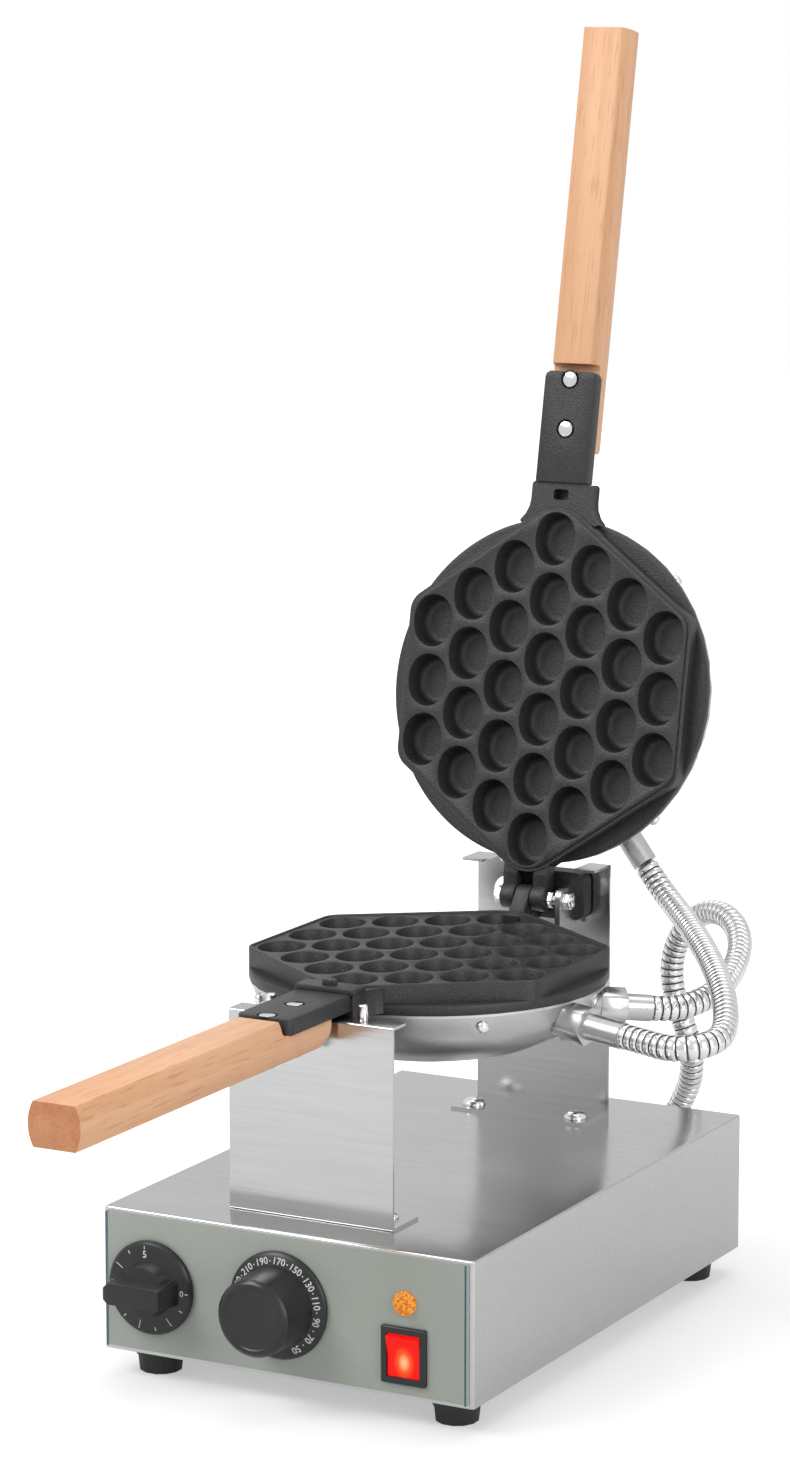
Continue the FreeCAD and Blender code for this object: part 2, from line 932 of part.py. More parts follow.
def mains_inlet():
    """A three-pin appliance inlet in the back wall, its well open to the back."""
    face = box_back + inlet_rim
    flange = box(
        inlet_x - inlet_width / 2 - inlet_flange,
        inlet_x + inlet_width / 2 + inlet_flange,
        box_back,
        face,
        inlet_z - inlet_height / 2 - inlet_flange,
        inlet_z + inlet_height / 2 + inlet_flange,
    )
    case = box(
        inlet_x - inlet_width / 2,
        inlet_x + inlet_width / 2,
        face - inlet_depth,
        face,
        inlet_z - inlet_height / 2,
        inlet_z + inlet_height / 2,
    )
    well = box(
        inlet_x - inlet_width / 2 + inlet_wall,
        inlet_x + inlet_width / 2 - inlet_wall,
        face - inlet_depth + inlet_wall,
        face + cut_overrun,
        inlet_z - inlet_height / 2 + inlet_wall,
        inlet_z + inlet_height / 2 - inlet_wall,
    )
    inlet = fuse([flange, case]).cut(well)
    blades = []
    for i in (-1, 0, 1):
        x = inlet_x + i * inlet_blade_spread
        z = inlet_z + (1 - abs(i)) * inlet_blade_height * blade_step_share
        blades.append(
            box(
                x - inlet_blade / 2,
                x + inlet_blade / 2,
                face - inlet_depth + inlet_wall / 2,
                face - inlet_wall * blade_end_share,
                z - inlet_blade_height / 2,
                z + inlet_blade_height / 2,
            )
        )
    return fuse([inlet] + blades)


def gland_thread_diameter():
    return hose_diameter + 2 * box_sheet


# Supports
def bent_sheet(width, y, z_low, z_high, bottom_reach, top_reach):
    """A sheet with a foot and a top flange, both bent the same way; minus is to the front."""
    sheet = support_sheet
    inward = math.copysign(sheet, bottom_reach)
    outline = [
        (y, z_low),
        (y + bottom_reach, z_low),
        (y + bottom_reach, z_low + sheet),
        (y + inward, z_low + sheet),
        (y + inward, z_high - sheet),
        (y + top_reach, z_high - sheet),
        (y + top_reach, z_high),
        (y, z_high),
    ]
    bent = side(outline, -width / 2, width / 2)
    outer = [
        e
        for e in bent.Edges
        if isinstance(e.Curve, Part.Line)
        and abs(e.Vertexes[0].Y - y) < flat_limit
        and abs(e.Vertexes[1].Y - y) < flat_limit
        and abs(e.Vertexes[0].Z - e.Vertexes[1].Z) < flat_limit
    ]
    return bent.makeFillet(support_bend, outer)


def support_screw_seats():
    """Where the four screws stand on the feet of the two supports."""
    z = base_height + support_sheet
    front_y = front_support_y + front_bottom_flange * front_screw_share
    rear_y = rear_support_y - rear_bottom_flange * rear_screw_share
    return [
        Vector(-front_screw_x, front_y, z),
        Vector(front_screw_x, front_y, z),
        Vector(-rear_screw_x, rear_y, z),
        Vector(rear_screw_x, rear_y, z),
    ]


def front_support():
    top = base_height + front_support_rise
    sheet = bent_sheet(
        front_support_width, front_support_y, base_height, top, front_bottom_flange, front_top_flange
    )
    cuts = [screw_clearance(seat) for seat in support_screw_seats()[:2]]
    for x in (-guide_pin_x, guide_pin_x):
        cuts.append(
            bar(
                guide_pin_diameter * pin_thread_share,
                Vector(x, front_support_y + guide_pin_back, top - support_sheet - cut_overrun),
                up,
                support_sheet + 2 * cut_overrun,
            )
        )
    return sheet.cut(cuts)


def screw_clearance(seat):
    return bar(
        support_screw_diameter,
        Vector(seat.x, seat.y, seat.z - support_sheet - cut_overrun),
        up,
        support_sheet + 2 * cut_overrun,
    )


def guide_pins():
    """Two chromed pins with a threaded end and a nut under the flange."""
    top = base_height + front_support_rise
    pins = []
    thread = guide_pin_diameter * pin_thread_share
    for x in (-guide_pin_x, guide_pin_x):
        radius = guide_pin_diameter / 2
        below = support_sheet + guide_pin_nut_height * pin_end_share
        points = [
            (0, -below),
            (thread / 2, -below),
            (thread / 2, 0),
            (radius, 0),
            (radius, guide_pin_rise - radius * pin_bevel_share),
            (radius - radius * pin_bevel_share, guide_pin_rise),
            (0, guide_pin_rise),
        ]
        pin = spun(points, Vector(x, front_support_y + guide_pin_back, top), up)
        holder = nut(
            guide_pin_diameter * pin_nut_share,
            thread,
            Vector(x, front_support_y + guide_pin_back, top - support_sheet - guide_pin_nut_height),
            up,
            guide_pin_nut_height,
        )
        pins.append(fuse([pin, holder]))
    return Part.makeCompound(pins)


def support_screws(seats, head):
    screws = []
    for seat in seats:
        screws.append(pan_head_screw(support_screw_diameter, head, seat, -up, screw_reach))
    return Part.makeCompound(screws)


def rear_support():
    top = base_height + rear_support_rise
    sheet = bent_sheet(
        rear_support_width, rear_support_y, base_height, top, -rear_bottom_flange, -rear_top_flange
    )
    sheet.translate(back * support_sheet)
    cuts = [screw_clearance(seat) for seat in support_screw_seats()[2:]]
    notch = box(
        -rear_notch_width / 2,
        rear_notch_width / 2,
        rear_support_y - rear_top_flange - cut_overrun,
        rear_support_y + 2 * support_sheet,
        top - support_sheet - rear_notch_drop,
        top + cut_overrun,
    )
    notch = fillet_along(notch, back, rear_notch_drop, lambda e: e.Vertexes[0].Z < top - support_sheet)
    cuts.append(notch)
    through = Vector(0, rear_support_y - cut_overrun, face_z)
    span = support_sheet + 2 * cut_overrun
    cuts.append(rod(swivel_diameter + 2 * swivel_bush_wall + 2 * swivel_running_gap, through, back, span))
    beside = Vector(rear_hole_x, rear_support_y - cut_overrun, rear_hole_z)
    cuts.append(rod(rear_hole_diameter, beside, back, span))
    return sheet.cut(cuts)


# Swivel: a shaft through the rear support, with the block that carries both pans
def swivel_bush():
    """A flanged bronze bush in the rear support."""
    bore = swivel_diameter + 2 * swivel_running_gap
    outer = bore + 2 * swivel_bush_wall
    barrel = tube(outer, bore, Vector(0, rear_support_y, face_z), back, support_sheet)
    front = tube(
        swivel_bush_flange_diameter,
        bore,
        Vector(0, rear_support_y - swivel_bush_flange, face_z),
        back,
        swivel_bush_flange,
    )
    return fuse([barrel, front])


def swivel_shaft():
    start = hinge_y + block_front + block_depth - swivel_in_block
    end = rear_support_y + support_sheet + swivel_washer + swivel_nut_height + swivel_bush_flange
    shaft = rod(swivel_diameter, Vector(0, start, face_z), back, end - start)
    end_edges = [e for e in shaft.Edges if min(v.Y for v in e.Vertexes) > end - flat_limit]
    return shaft.makeChamfer(swivel_bush_flange, end_edges)


def swivel_nut():
    """The washer and lock nut behind the rear support."""
    y = rear_support_y + support_sheet + washer_gap
    bore = swivel_diameter + 2 * swivel_running_gap
    washer = tube(swivel_washer_diameter, bore, Vector(0, y, face_z), back, swivel_washer)
    height = swivel_nut_height - washer_gap
    start = Vector(0, y + swivel_washer, face_z)
    holder = hexagon(swivel_nut_width, start, back, height).cut(rod(bore, start - back, back, 2 * height))
    return fuse([washer, holder])


def swivel_block():
    front = hinge_y + block_front
    block = box(
        block_left,
        block_right,
        front,
        front + block_depth,
        hinge_z - block_bottom,
        hinge_z + block_top,
    )
    block = fillet_along(block, back, block_corner)
    rear = front + block_depth
    cuts = [
        rod(swivel_diameter, Vector(0, rear - swivel_in_block, face_z), back, swivel_in_block + cut_overrun),
        box(
            tab_x - tab_thickness / 2,
            tab_x + tab_thickness / 2,
            front - cut_overrun,
            front + tab_in_block,
            hinge_z - tab_bottom - cut_overrun,
            hinge_z + tab_top,
        ),
    ]
    for x in (-tail_screw_x, tail_screw_x):
        through = block_depth + 2 * cut_overrun
        cuts.append(bar(tail_screw_diameter, Vector(x, front - cut_overrun, hinge_z), back, through))
        sunk = Vector(x, rear - tail_screw_head_height, hinge_z)
        cuts.append(bar(tail_screw_head, sunk, back, block_depth))
    return block.cut(cuts)


def tail_screws():
    """Two socket screws from the back of the block into the tail of the lower pan."""
    rear = hinge_y + block_front + block_depth
    screws = []
    for x in (-tail_screw_x, tail_screw_x):
        seat = rear - tail_screw_head_height
        head = bar(tail_screw_head, Vector(x, seat, hinge_z), back, tail_screw_head_height)
        reach = seat - (hinge_y + tail_front)
        shank = bar(tail_screw_diameter, Vector(x, seat - reach, hinge_z), back, reach)
        key = hexagon(
            tail_screw_diameter * socket_share,
            Vector(x, rear - tail_screw_head_height * socket_depth_share, hinge_z),
            back,
            tail_screw_head_height,
        )
        screws.append(fuse([head, shank]).cut(key))
    return Part.makeCompound(screws)


def hinge_tab():
    """A steel ear let into the block; the far end of the hinge bolt is locked in it."""
    front = hinge_y - tab_front
    plate = box(
        tab_x - tab_thickness / 2,
        tab_x + tab_thickness / 2,
        front,
        hinge_y + block_front + tab_in_block,
        hinge_z - tab_bottom,
        hinge_z + tab_top,
    )
    front_edges = []
    for edge in plate.Edges:
        ends = edge.Vertexes
        if max(v.Y for v in ends) < front + flat_limit and abs(ends[0].X - ends[1].X) > tab_thickness / 2:
            front_edges.append(edge)
    plate = plate.makeFillet(tab_top * tab_round_share, front_edges)
    hole = rod(
        hinge_bolt_diameter,
        Vector(tab_x - tab_thickness, hinge_y, hinge_z),
        across,
        2 * tab_thickness,
    )
    return plate.cut(hole)


def ear_outer():
    return knuckle_width / 2 + ear_gap + ear_width


def hinge_bolt():
    """A hexagon bolt through the ears, the knuckle and the tab."""
    left = -ear_outer() - washer_gap
    right = tab_x + tab_thickness / 2 + hinge_nut_height + cut_overrun
    shank = rod(hinge_bolt_diameter, Vector(left, hinge_y, hinge_z), across, right - left)
    head_end = Vector(left - bolt_head_height, hinge_y, hinge_z)
    head = hexagon(bolt_head_width, head_end, across, bolt_head_height)
    return fuse([shank, head])


def hinge_nuts():
    """One nut beside the ears and one outside the tab."""
    inner = ear_outer() + washer_gap
    outer = tab_x + tab_thickness / 2
    nuts = []
    for x in (inner, outer):
        start = Vector(x, hinge_y, hinge_z)
        blank = hexagon(hinge_nut_width, start, across, hinge_nut_height)
        nuts.append(blank.cut(bolt_bore(hinge_bolt_diameter)))
    return Part.makeCompound(nuts)


# Cast pans. Both are made lying shut, the upper one as the mirror image of the lower.
def plate_outline(inset, z_low, z_high):
    """The six-sided plate with rounded corners, drawn in by an inset."""
    half = plate_half_width - inset
    slope = math.atan2(sharp_tip() - plate_corner_y, plate_half_width)
    tip = sharp_tip() - inset / math.cos(slope)
    corner = tip - half * math.tan(slope)
    points = [(half, corner), (0, tip), (-half, corner), (-half, -corner), (0, -tip), (half, -corner)]
    prism = plan([(x, y + pan_y) for x, y in points], z_low, z_high)
    prism = fillet_along(prism, up, tip_radius - inset, lambda e: abs(e.Vertexes[0].X) < half / 2)
    return fillet_along(prism, up, corner_radius - inset, lambda e: abs(e.Vertexes[0].X) > half / 2)


def sharp_tip():
    """Where the slanting sides would meet if the tip weren't rounded."""
    low = plate_half_length
    rise = 0.0
    for _ in range(settle_turns):
        slope = math.atan2(low + rise - plate_corner_y, plate_half_width)
        rise = tip_radius * (1 / math.cos(slope) - 1)
    return low + rise


def cell_centres():
    """The middles of the thirty cells, column by column across the plate."""
    centres = []
    middle = (len(cell_columns) - 1) / 2
    for i, count in enumerate(cell_columns):
        for k in range(count):
            centres.append(((i - middle) * column_pitch, pan_y + (k - (count - 1) / 2) * cell_pitch))
    return centres


def cell_cutter(x, y):
    """A cell's room: an oval cup with a steep wall that turns in to a smaller floor."""
    top = face_z - face_gap
    mouth = cell_width / 2
    knee = mouth - cell_wall_draft
    rings = [
        oval_ring(x, y, top - cell_depth, cell_floor_width / 2),
        oval_ring(x, y, top - cell_depth * cell_wall_share, knee),
        oval_ring(x, y, top, mouth),
        oval_ring(x, y, top + cut_overrun, mouth),
    ]
    return walled(rings, True)


def oval_ring(x, y, z, radius):
    """Corners of an oval: two half rounds, drawn apart along the handle."""
    apart = (cell_length - cell_width) / 2
    corners = []
    for i in range(cell_sides):
        turn = 2 * math.pi * i / cell_sides
        shift = apart if i <= cell_sides / 2 else -apart
        corners.append(Vector(x + radius * math.cos(turn), y + shift + radius * math.sin(turn), z))
        if i in (0, cell_sides // 2):
            corners.append(corners[-1] - back * 2 * shift)
    last = cell_sides // 2 + 1
    return [corners[1], corners[0]] + corners[2:last + 1] + corners[last + 1:]


def walled(rings, closed):
    """A solid of flat facets through rings of corners, with a face over each end."""
    faces = []
    for near, far in zip(rings, rings[1:]):
        for i in range(len(near)):
            k = (i + 1) % len(near)
            corners = [near[i], near[k], far[k], far[i]]
            faces.append(Part.Face(Part.makePolygon(corners + [corners[0]])))
    if closed:
        for ring in (rings[0], rings[-1]):
            faces.append(Part.Face(Part.makePolygon(ring + [ring[0]])))
    shell = Part.makeShell(faces)
    shell.sewShape()
    solid = Part.Solid(shell)
    if solid.Volume < 0:
        solid.reverse()
    return solid


def pan_casting(raised_block):
    """A pan lying face up: plate, round flange, spigot, tang and block, without hinge lugs."""
    top = face_z - face_gap
    plate = plate_outline(0, face_z - plate_skirt, top)
    flange = flange_diameter / 2
    spigot = spigot_diameter / 2
    turned = [
        (0, -pan_underside),
        (spigot - spigot_wall, -pan_underside),
        (spigot - spigot_wall, -spigot_bottom),
        (spigot, -spigot_bottom),
        (spigot, -flange_bottom),
        (flange - flange_round, -flange_bottom),
        (flange, -flange_bottom + flange_round),
        (flange, -flange_top - flange_round),
        (flange - flange_round, -flange_top),
        (0, -flange_top),
    ]
    rounds = spun(turned, Vector(0, pan_y, face_z), up, ring_sides)
    body = fuse([plate, rounds, tang(), front_block(raised_block)])
    tip = pan_y - plate_half_length
    inner = plate_outline(lip_width, top - cut_overrun, top + lip_height + cut_overrun)
    gate_end = tip + tip_radius * gate_share
    gate = box(-block_width, block_width, -base_depth, gate_end, 0, hinge_z)
    if raised_block:
        lip = plate_outline(0, top, top + lip_height).cut(inner)
        body = fuse([body, lip.cut(gate)])
    else:
        low = top - lip_height - face_gap
        rim = plate_outline(-cut_overrun, low, top + cut_overrun)
        kept = plate_outline(lip_width + lip_gap, low - cut_overrun, top + 2 * cut_overrun)
        front_limit = box(-base_width, base_width, tip - 2 * cut_overrun, base_depth, 0, hinge_z)
        body = body.cut([rim.cut(kept).common(front_limit).cut(gate)] + lug_room())
    return body.cut([cell_cutter(x, y) for x, y in cell_centres()] + dome_screw_holes())


def tang():
    """The bar that the handle is screwed to, its end corners rounded."""
    high = face_z - tang_drop
    outline = [
        (-block_end + cut_overrun, high),
        (-tang_end, high),
        (-tang_end, high - tang_thickness),
        (-block_end + cut_overrun, high - tang_thickness_root),
    ]
    strip = side(outline, -tang_width / 2, tang_width / 2)
    strip = fillet_along(strip, up, tang_round, lambda e: e.Vertexes[0].Y < -tang_end + flat_limit)
    holes = []
    for y in (-handle_screw_near, -handle_screw_far):
        holes.append(
            bar(
                handle_screw_diameter + 2 * screw_hole_gap,
                Vector(0, y, high - 2 * tang_thickness_root),
                up,
                3 * tang_thickness_root,
            )
        )
        holes.append(
            Part.makeCone(
                handle_screw_diameter / 2 + screw_hole_gap,
                handle_screw_head / 2 + screw_hole_gap,
                handle_screw_head_height,
                Vector(0, y, high - handle_screw_head_height),
                up,
            )
        )
    return strip.cut(holes)


def front_block(raised):
    """The block between tang and plate: raised with a lug on the lower pan, sunk and slotted above."""
    tip = pan_y - plate_half_length
    half = block_width / 2
    neck = -block_end + (block_end + tip) * block_neck_share
    root = tip + tip_radius * block_root_share
    outline = [
        (half, -block_end),
        (half, neck),
        (block_flare, root),
        (-block_flare, root),
        (-half, neck),
        (-half, -block_end),
    ]
    high = face_z - tang_drop
    body = plan(outline, face_z - block_depth_below, high)
    step = tip - lip_gap
    if raised:
        corners = [(half, -block_end), (half, step), (-half, step), (-half, -block_end)]
        top = plan(corners, high, face_z + block_raise)
        lug = lug_solid(0, face_z + block_raise - cut_overrun, face_z + block_raise + lug_height)
        return fuse([body, top, fillet_along(lug, up, lug_width * lug_round_share)])
    return body


def lug_room():
    """What the upper block is cut away for: the lower block's raised top and its lug."""
    front = -block_end - lug_gap
    step = pan_y - plate_half_length
    sink = box(-block_width, block_width, front, step, face_z - block_recess, face_z + cut_overrun)
    slot = lug_solid(lug_gap, face_z - block_raise - lug_height - lug_gap, face_z + cut_overrun)
    return [sink, slot]


def lug_solid(gap, z_low, z_high):
    """The lug that keeps the two pans in line, or its slot when a gap is given."""
    half_length = lug_length / 2 + gap
    half_width = lug_width / 2 + gap
    return box(-half_length, half_length, -lug_y - half_width, -lug_y + half_width, z_low, z_high)


def arm(diameter, root_low, root_high, x_low, x_high, other_tip):
    """A hinge lug: a barrel round the hinge line, joined to the back tip of its own plate.

    The other plate's tip comes between two heights, and the lug is cut away for it.
    """
    tip = pan_y + plate_half_length
    barrel = rod(diameter, Vector(x_low, hinge_y, hinge_z), across, x_high - x_low)
    radius = diameter / 2
    near = tip - arm_root
    far = tip - lip_width
    corners = [(near, root_low), (far, root_low), (far, root_high), (near, root_high)]
    turns = [2 * math.pi * i / small_sides for i in range(small_sides)]
    ring = [(hinge_y + radius * math.cos(t), hinge_z + radius * math.sin(t)) for t in turns]
    hull = side(convex_outline(corners + ring), x_low, x_high)
    room = box(x_low, x_high, near, tip + lug_gap, *other_tip)
    return fuse([hull.cut(room), barrel])


def convex_outline(points):
    """The outline of a band stretched round the points."""
    points = sorted(set(points))
    halves = []
    for ordered in (points, points[::-1]):
        chain = []
        for p in ordered:
            while len(chain) > 1 and turn(chain[-2], chain[-1], p) <= 0:
                chain.pop()
            chain.append(p)
        halves += chain[:-1]
    return halves


def turn(a, b, c):
    return (b[0] - a[0]) * (c[1] - a[1]) - (b[1] - a[1]) * (c[0] - a[0])


def bolt_bore(diameter):
    return rod(diameter, Vector(-base_width / 2, hinge_y, hinge_z), across, base_width)


def lower_pan():
    half = knuckle_width / 2
    root = face_z - lip_height
    room = (root, hinge_z + knuckle_diameter)
    knuckle = arm(knuckle_diameter, face_z - plate_skirt, root, -half, half, room)
    tail = box(
        -half,
        half,
        hinge_y,
        hinge_y + tail_front + cut_overrun,
        hinge_z - tail_bottom,
        hinge_z + tail_top,
    )
    pad = box(
        -tail_width / 2,
        tail_width / 2,
        hinge_y + tail_front,
        hinge_y + block_front,
        hinge_z - tail_bottom,
        hinge_z + tail_top,
    )
    screw_holes = [
        bar(tail_screw_diameter, Vector(x, hinge_y + tail_front - cut_overrun, hinge_z), back, block_front)
        for x in (-tail_screw_x, tail_screw_x)
    ]
    casting = fuse([pan_casting(True), knuckle, tail, pad])
    return casting.cut([bolt_bore(hinge_bolt_diameter)] + screw_holes)


def mirrored(shape):
    """The mirror image above the plane where the two pans meet."""
    return shape.mirror(Vector(0, 0, face_z), up)


def upper_pan():
    return mirrored(pan_casting(False))


def lid_ears(casting):
    """The lid's two hinge ears, each fitted to the outside of the upper casting."""
    ears = []
    inner = knuckle_width / 2 + ear_gap
    low = face_z + face_gap + lip_height + face_gap
    for x in (-ear_outer(), inner):
        high = face_z + ear_arm_height
        ear = arm(ear_diameter, low, high, x, x + ear_width, (face_z - ear_diameter, low))
        ear = ear.cut(bolt_bore(hinge_bolt_diameter + 2 * hinge_running_gap)).cut(casting)
        ears.append(max(ear.Solids, key=lambda solid: solid.Volume))
    return Part.makeCompound(ears)


# Handles
def wood_handle():
    """A beech handle: flat above and below, its sides bulging, with a tongue under the tang."""
    top = face_z - handle_drop
    low = top - handle_height
    half = handle_flat_width / 2
    bulge = handle_width / 2
    mid = (top + low) / 2
    start = -handle_end
    edges = [
        Part.LineSegment(Vector(-half, start, top), Vector(half, start, top)).toShape(),
        Part.Arc(Vector(half, start, top), Vector(bulge, start, mid), Vector(half, start, low)).toShape(),
        Part.LineSegment(Vector(half, start, low), Vector(-half, start, low)).toShape(),
        Part.Arc(Vector(-half, start, low), Vector(-bulge, start, mid), Vector(-half, start, top)).toShape(),
    ]
    stick = Part.Face(Part.Wire(edges)).extrude(back * (handle_end - handle_tongue_end))
    seat = face_z - tang_drop - tang_thickness - handle_seat_gap
    slope = (tang_thickness_root - tang_thickness) / (tang_end - block_end)
    tongue_seat = seat - slope * (tang_end - handle_tongue_end)
    relief = side(
        [
            (-handle_shoulder, top + cut_overrun),
            (-handle_shoulder, seat),
            (-tang_end, seat),
            (-handle_tongue_end + cut_overrun, tongue_seat),
            (-handle_tongue_end + cut_overrun, top + cut_overrun),
        ],
        -handle_width,
        handle_width,
    )

    def at_shoulder(edge):
        corner = edge.Vertexes[0]
        return abs(corner.Z - seat) + abs(corner.Y + handle_shoulder) < flat_limit

    relief = fillet_along(relief, across, shoulder_round, at_shoulder)
    stick = stick.cut(relief)
    nose = []
    for edge in stick.Edges:
        at_end = min(v.Y for v in edge.Vertexes) > -handle_tongue_end - flat_limit
        if at_end and max(v.Z for v in edge.Vertexes) < low + flat_limit:
            nose.append(edge)
    stick = stick.makeFillet(handle_round, nose)
    holes = []
    for y in (-handle_screw_near, -handle_screw_far):
        start = Vector(0, y, low - cut_overrun)
        holes.append(bar(handle_screw_diameter + 2 * screw_hole_gap, start, up, 2 * handle_height))
    return stick.cut(holes)


def handle_screws():
    """Countersunk screws from the tang's face down through the wood."""
    high = face_z - tang_drop
    low = face_z - handle_drop - handle_height - handle_nut_height - handle_screw_past
    screws = []
    for y in (-handle_screw_near, -handle_screw_far):
        points = [
            (0, high),
            (handle_screw_head / 2, high),
            (handle_screw_diameter / 2, high - handle_screw_head_height),
            (handle_screw_diameter / 2, low),
            (0, low),
        ]
        screws.append(spun(points, Vector(0, y, 0), up))
    return Part.makeCompound(screws)


def handle_nuts():
    low = face_z - handle_drop - handle_height
    nuts = []
    for y in (-handle_screw_near, -handle_screw_far):
        start = Vector(0, y, low - handle_nut_height)
        nuts.append(nut(handle_nut_width, handle_screw_diameter, start, up, handle_nut_height))
    return Part.makeCompound(nuts)


# Domes and heating elements
def dome_bands():
    """The bowl's outer surface as pairs of radius and height, from its mouth to its flat middle."""
    mouth = face_z - flange_bottom - dome_rim_gap - dome_rim_height
    turns = [math.radians(a) for a in dome_band_angles]
    return [(dome_radius * math.cos(t), mouth - dome_depth * math.sin(t)) for t in turns]


def dome_outline(inner_points):
    """A dome turned in flat facets: its bowl's straight bands, closed by the points given."""
    bowl = dome_bands()
    low = bowl[-1][1]
    points = [(0, low)] + bowl[::-1] + inner_points(low)[::-1]
    wide = 1 / math.cos(math.pi / ring_sides)
    return spun([(r * wide, z) for r, z in points], Vector(0, pan_y, 0), up, ring_sides)


def dome():
    """A spun steel bowl with a flat rim; its inside is turned in straight cones."""
    rim = face_z - flange_bottom - dome_rim_gap
    inner = spigot_diameter / 2 + dome_rim_gap

    def inside(low):
        floor = low + dome_wall
        return [
            (0, floor),
            (dome_radius * dome_low_share, floor + dome_depth * dome_low_rise_share),
            (dome_radius * dome_high_share, floor + dome_depth * dome_high_rise_share),
            (inner - dome_wall, face_z - spigot_bottom - dome_rim_gap),
            (inner, face_z - spigot_bottom),
            (inner, rim),
            (dome_rim_diameter / 2, rim),
            (dome_rim_diameter / 2, rim - dome_rim_height),
        ]

    bowl = dome_outline(inside)
    cuts = dome_screw_holes()
    for place in (link_lower_fitting, supply_fitting_place):
        base, line = fitting_line(place)
        cuts.append(rod(fitting_bore, base - line * fitting_nut_length, line, 2 * fitting_nut_length))
    return bowl.cut(cuts)


def dome_screw_holes():
    """Holes for the four screws, through the dome's wall and the casting's spigot."""
    z = face_z - dome_screw_drop
    holes = []
    for out in dome_screw_ways():
        seat = Vector(0, pan_y, z) + out * (spigot_diameter / 2 - 2 * spigot_wall)
        holes.append(bar(dome_screw_diameter + dome_rim_gap, seat, out, 4 * spigot_wall))
    return holes


def dome_screw_ways():
    turns = [math.pi / 2 * (i + half_share) for i in range(4)]
    return [Vector(math.cos(t), math.sin(t), 0) for t in turns]


def dome_screws():
    """Four small screws that hold the dome's wall to the casting's spigot."""
    z = face_z - dome_screw_drop
    screws = []
    for out in dome_screw_ways():
        seat = Vector(0, pan_y, z) + out * (dome_wall_radius(z + dome_screw_head / 2) + dome_rim_gap)
        screws.append(pan_head_screw(dome_screw_diameter, dome_screw_head, seat, -out, dome_screw_reach))
    return Part.makeCompound(screws)


def dome_wall_radius(z):
    """The dome's outer radius at a height, on its straight bands."""
    bands = dome_bands()
    for (wide, high), (narrow, low) in zip(bands, bands[1:]):
        if z >= low:
            return min(wide, wide + (narrow - wide) * (high - z) / (high - low))
    return bands[-1][0]


def heating_element():
    """A bent heater under the casting, pressed six-sided, its two ends beside each other."""
    z = face_z - pan_underside - element_gap - element_diameter / 2
    corner = element_diameter / 2
    rings = []
    for i in range(element_sides + 1):
        turn = element_open_angle / 2 + (360 - element_open_angle) * i / element_sides
        out = Vector(math.cos(math.radians(turn)), math.sin(math.radians(turn)), 0)
        ring = []
        for k in range(6):
            tilt = math.pi / 3 * (k + half_share)
            reach = element_radius + corner * math.cos(tilt)
            ring.append(Vector(0, pan_y, z + corner * math.sin(tilt)) + out * reach)
        rings.append(ring)
    return walled(rings, True)


# Hose fittings
def fitting_line(place, upper=False):
    """The point on the dome and the direction of a fitting, for its place on the dome."""
    turn_angle, drop, heading, tilt = place
    mouth = face_z - flange_bottom - dome_rim_gap - dome_rim_height
    radius = dome_wall_radius(mouth - drop)
    base = Vector(
        radius * math.cos(math.radians(turn_angle)),
        pan_y + radius * math.sin(math.radians(turn_angle)),
        mouth - drop,
    )
    flat = math.cos(math.radians(tilt))
    line = Vector(
        flat * math.cos(math.radians(heading)),
        flat * math.sin(math.radians(heading)),
        -math.sin(math.radians(tilt)),
    )
    if upper:
        base = Vector(base.x, base.y, 2 * face_z - base.z)
        line = Vector(line.x, line.y, -line.z)
    return base, line


def fitting(place, upper=False):
    """A hexagon nut on a stub that goes through the dome."""
    base, line = fitting_line(place, upper)
    body = hexagon(fitting_nut_width, base, line, fitting_nut_length)
    body = body.common(rod(fitting_nut_width * nut_corner_share, base - line, line, 2 * fitting_nut_length))
    hole = rod(fitting_bore, base - line * fitting_nut_length, line, 3 * fitting_nut_length)
    under = base - line * fitting_nut_length
    foot = rod(fitting_nut_width * nut_foot_share, under, line, fitting_nut_length * nut_foot_length_share)
    grown = fuse([body, foot]).cut(hole).cut(outer_dome_solid(upper).translated(line * dome_rim_gap))
    return max(grown.Solids, key=lambda solid: solid.Volume)


def outer_dome_solid(upper):
    """The dome's outside as a full body, to seat the fittings on."""

    def filled(low):
        return [(0, face_z), (dome_radius, face_z)]

    body = dome_outline(filled)
    return mirrored(body) if upper else body


def sleeve(place, length, upper=False):
    base, line = fitting_line(place, upper)
    return tube(sleeve_diameter, fitting_bore, base + line * fitting_nut_length, line, length)


def hose_end(place, sleeve_length, upper=False):
    """Where a hose starts, at the end of its sleeve, and the way it leaves."""
    base, line = fitting_line(place, upper)
    start = base + line * (fitting_nut_length + sleeve_length)
    if upper:
        start = opened_point(start)
        line = opened_point(base + line) - opened_point(base)
    return start, line


def base_gland():
    """The gland where the supply hose goes into the back of the box."""
    wall = Vector(gland_x, box_back, gland_z)
    reach = box_sheet + gland_thread
    thread = rod(gland_thread_diameter(), wall - back * reach, back, reach)
    body = hexagon(fitting_nut_width, wall, back, gland_length)
    hole = rod(fitting_bore, wall - back * base_depth / 4, back, base_depth)
    return fuse([thread, body]).cut(hole)


# Opening the lid
def opened(shape):
    """Turns a piece of the upper pan from shut to its open rest position."""
    shape = shape.copy()
    shape.rotate(hinge_point, across, -lid_open_angle)
    return shape


def opened_point(point):
    turned = Rotation(across, -lid_open_angle).multVec(point - hinge_point)
    return hinge_point + turned


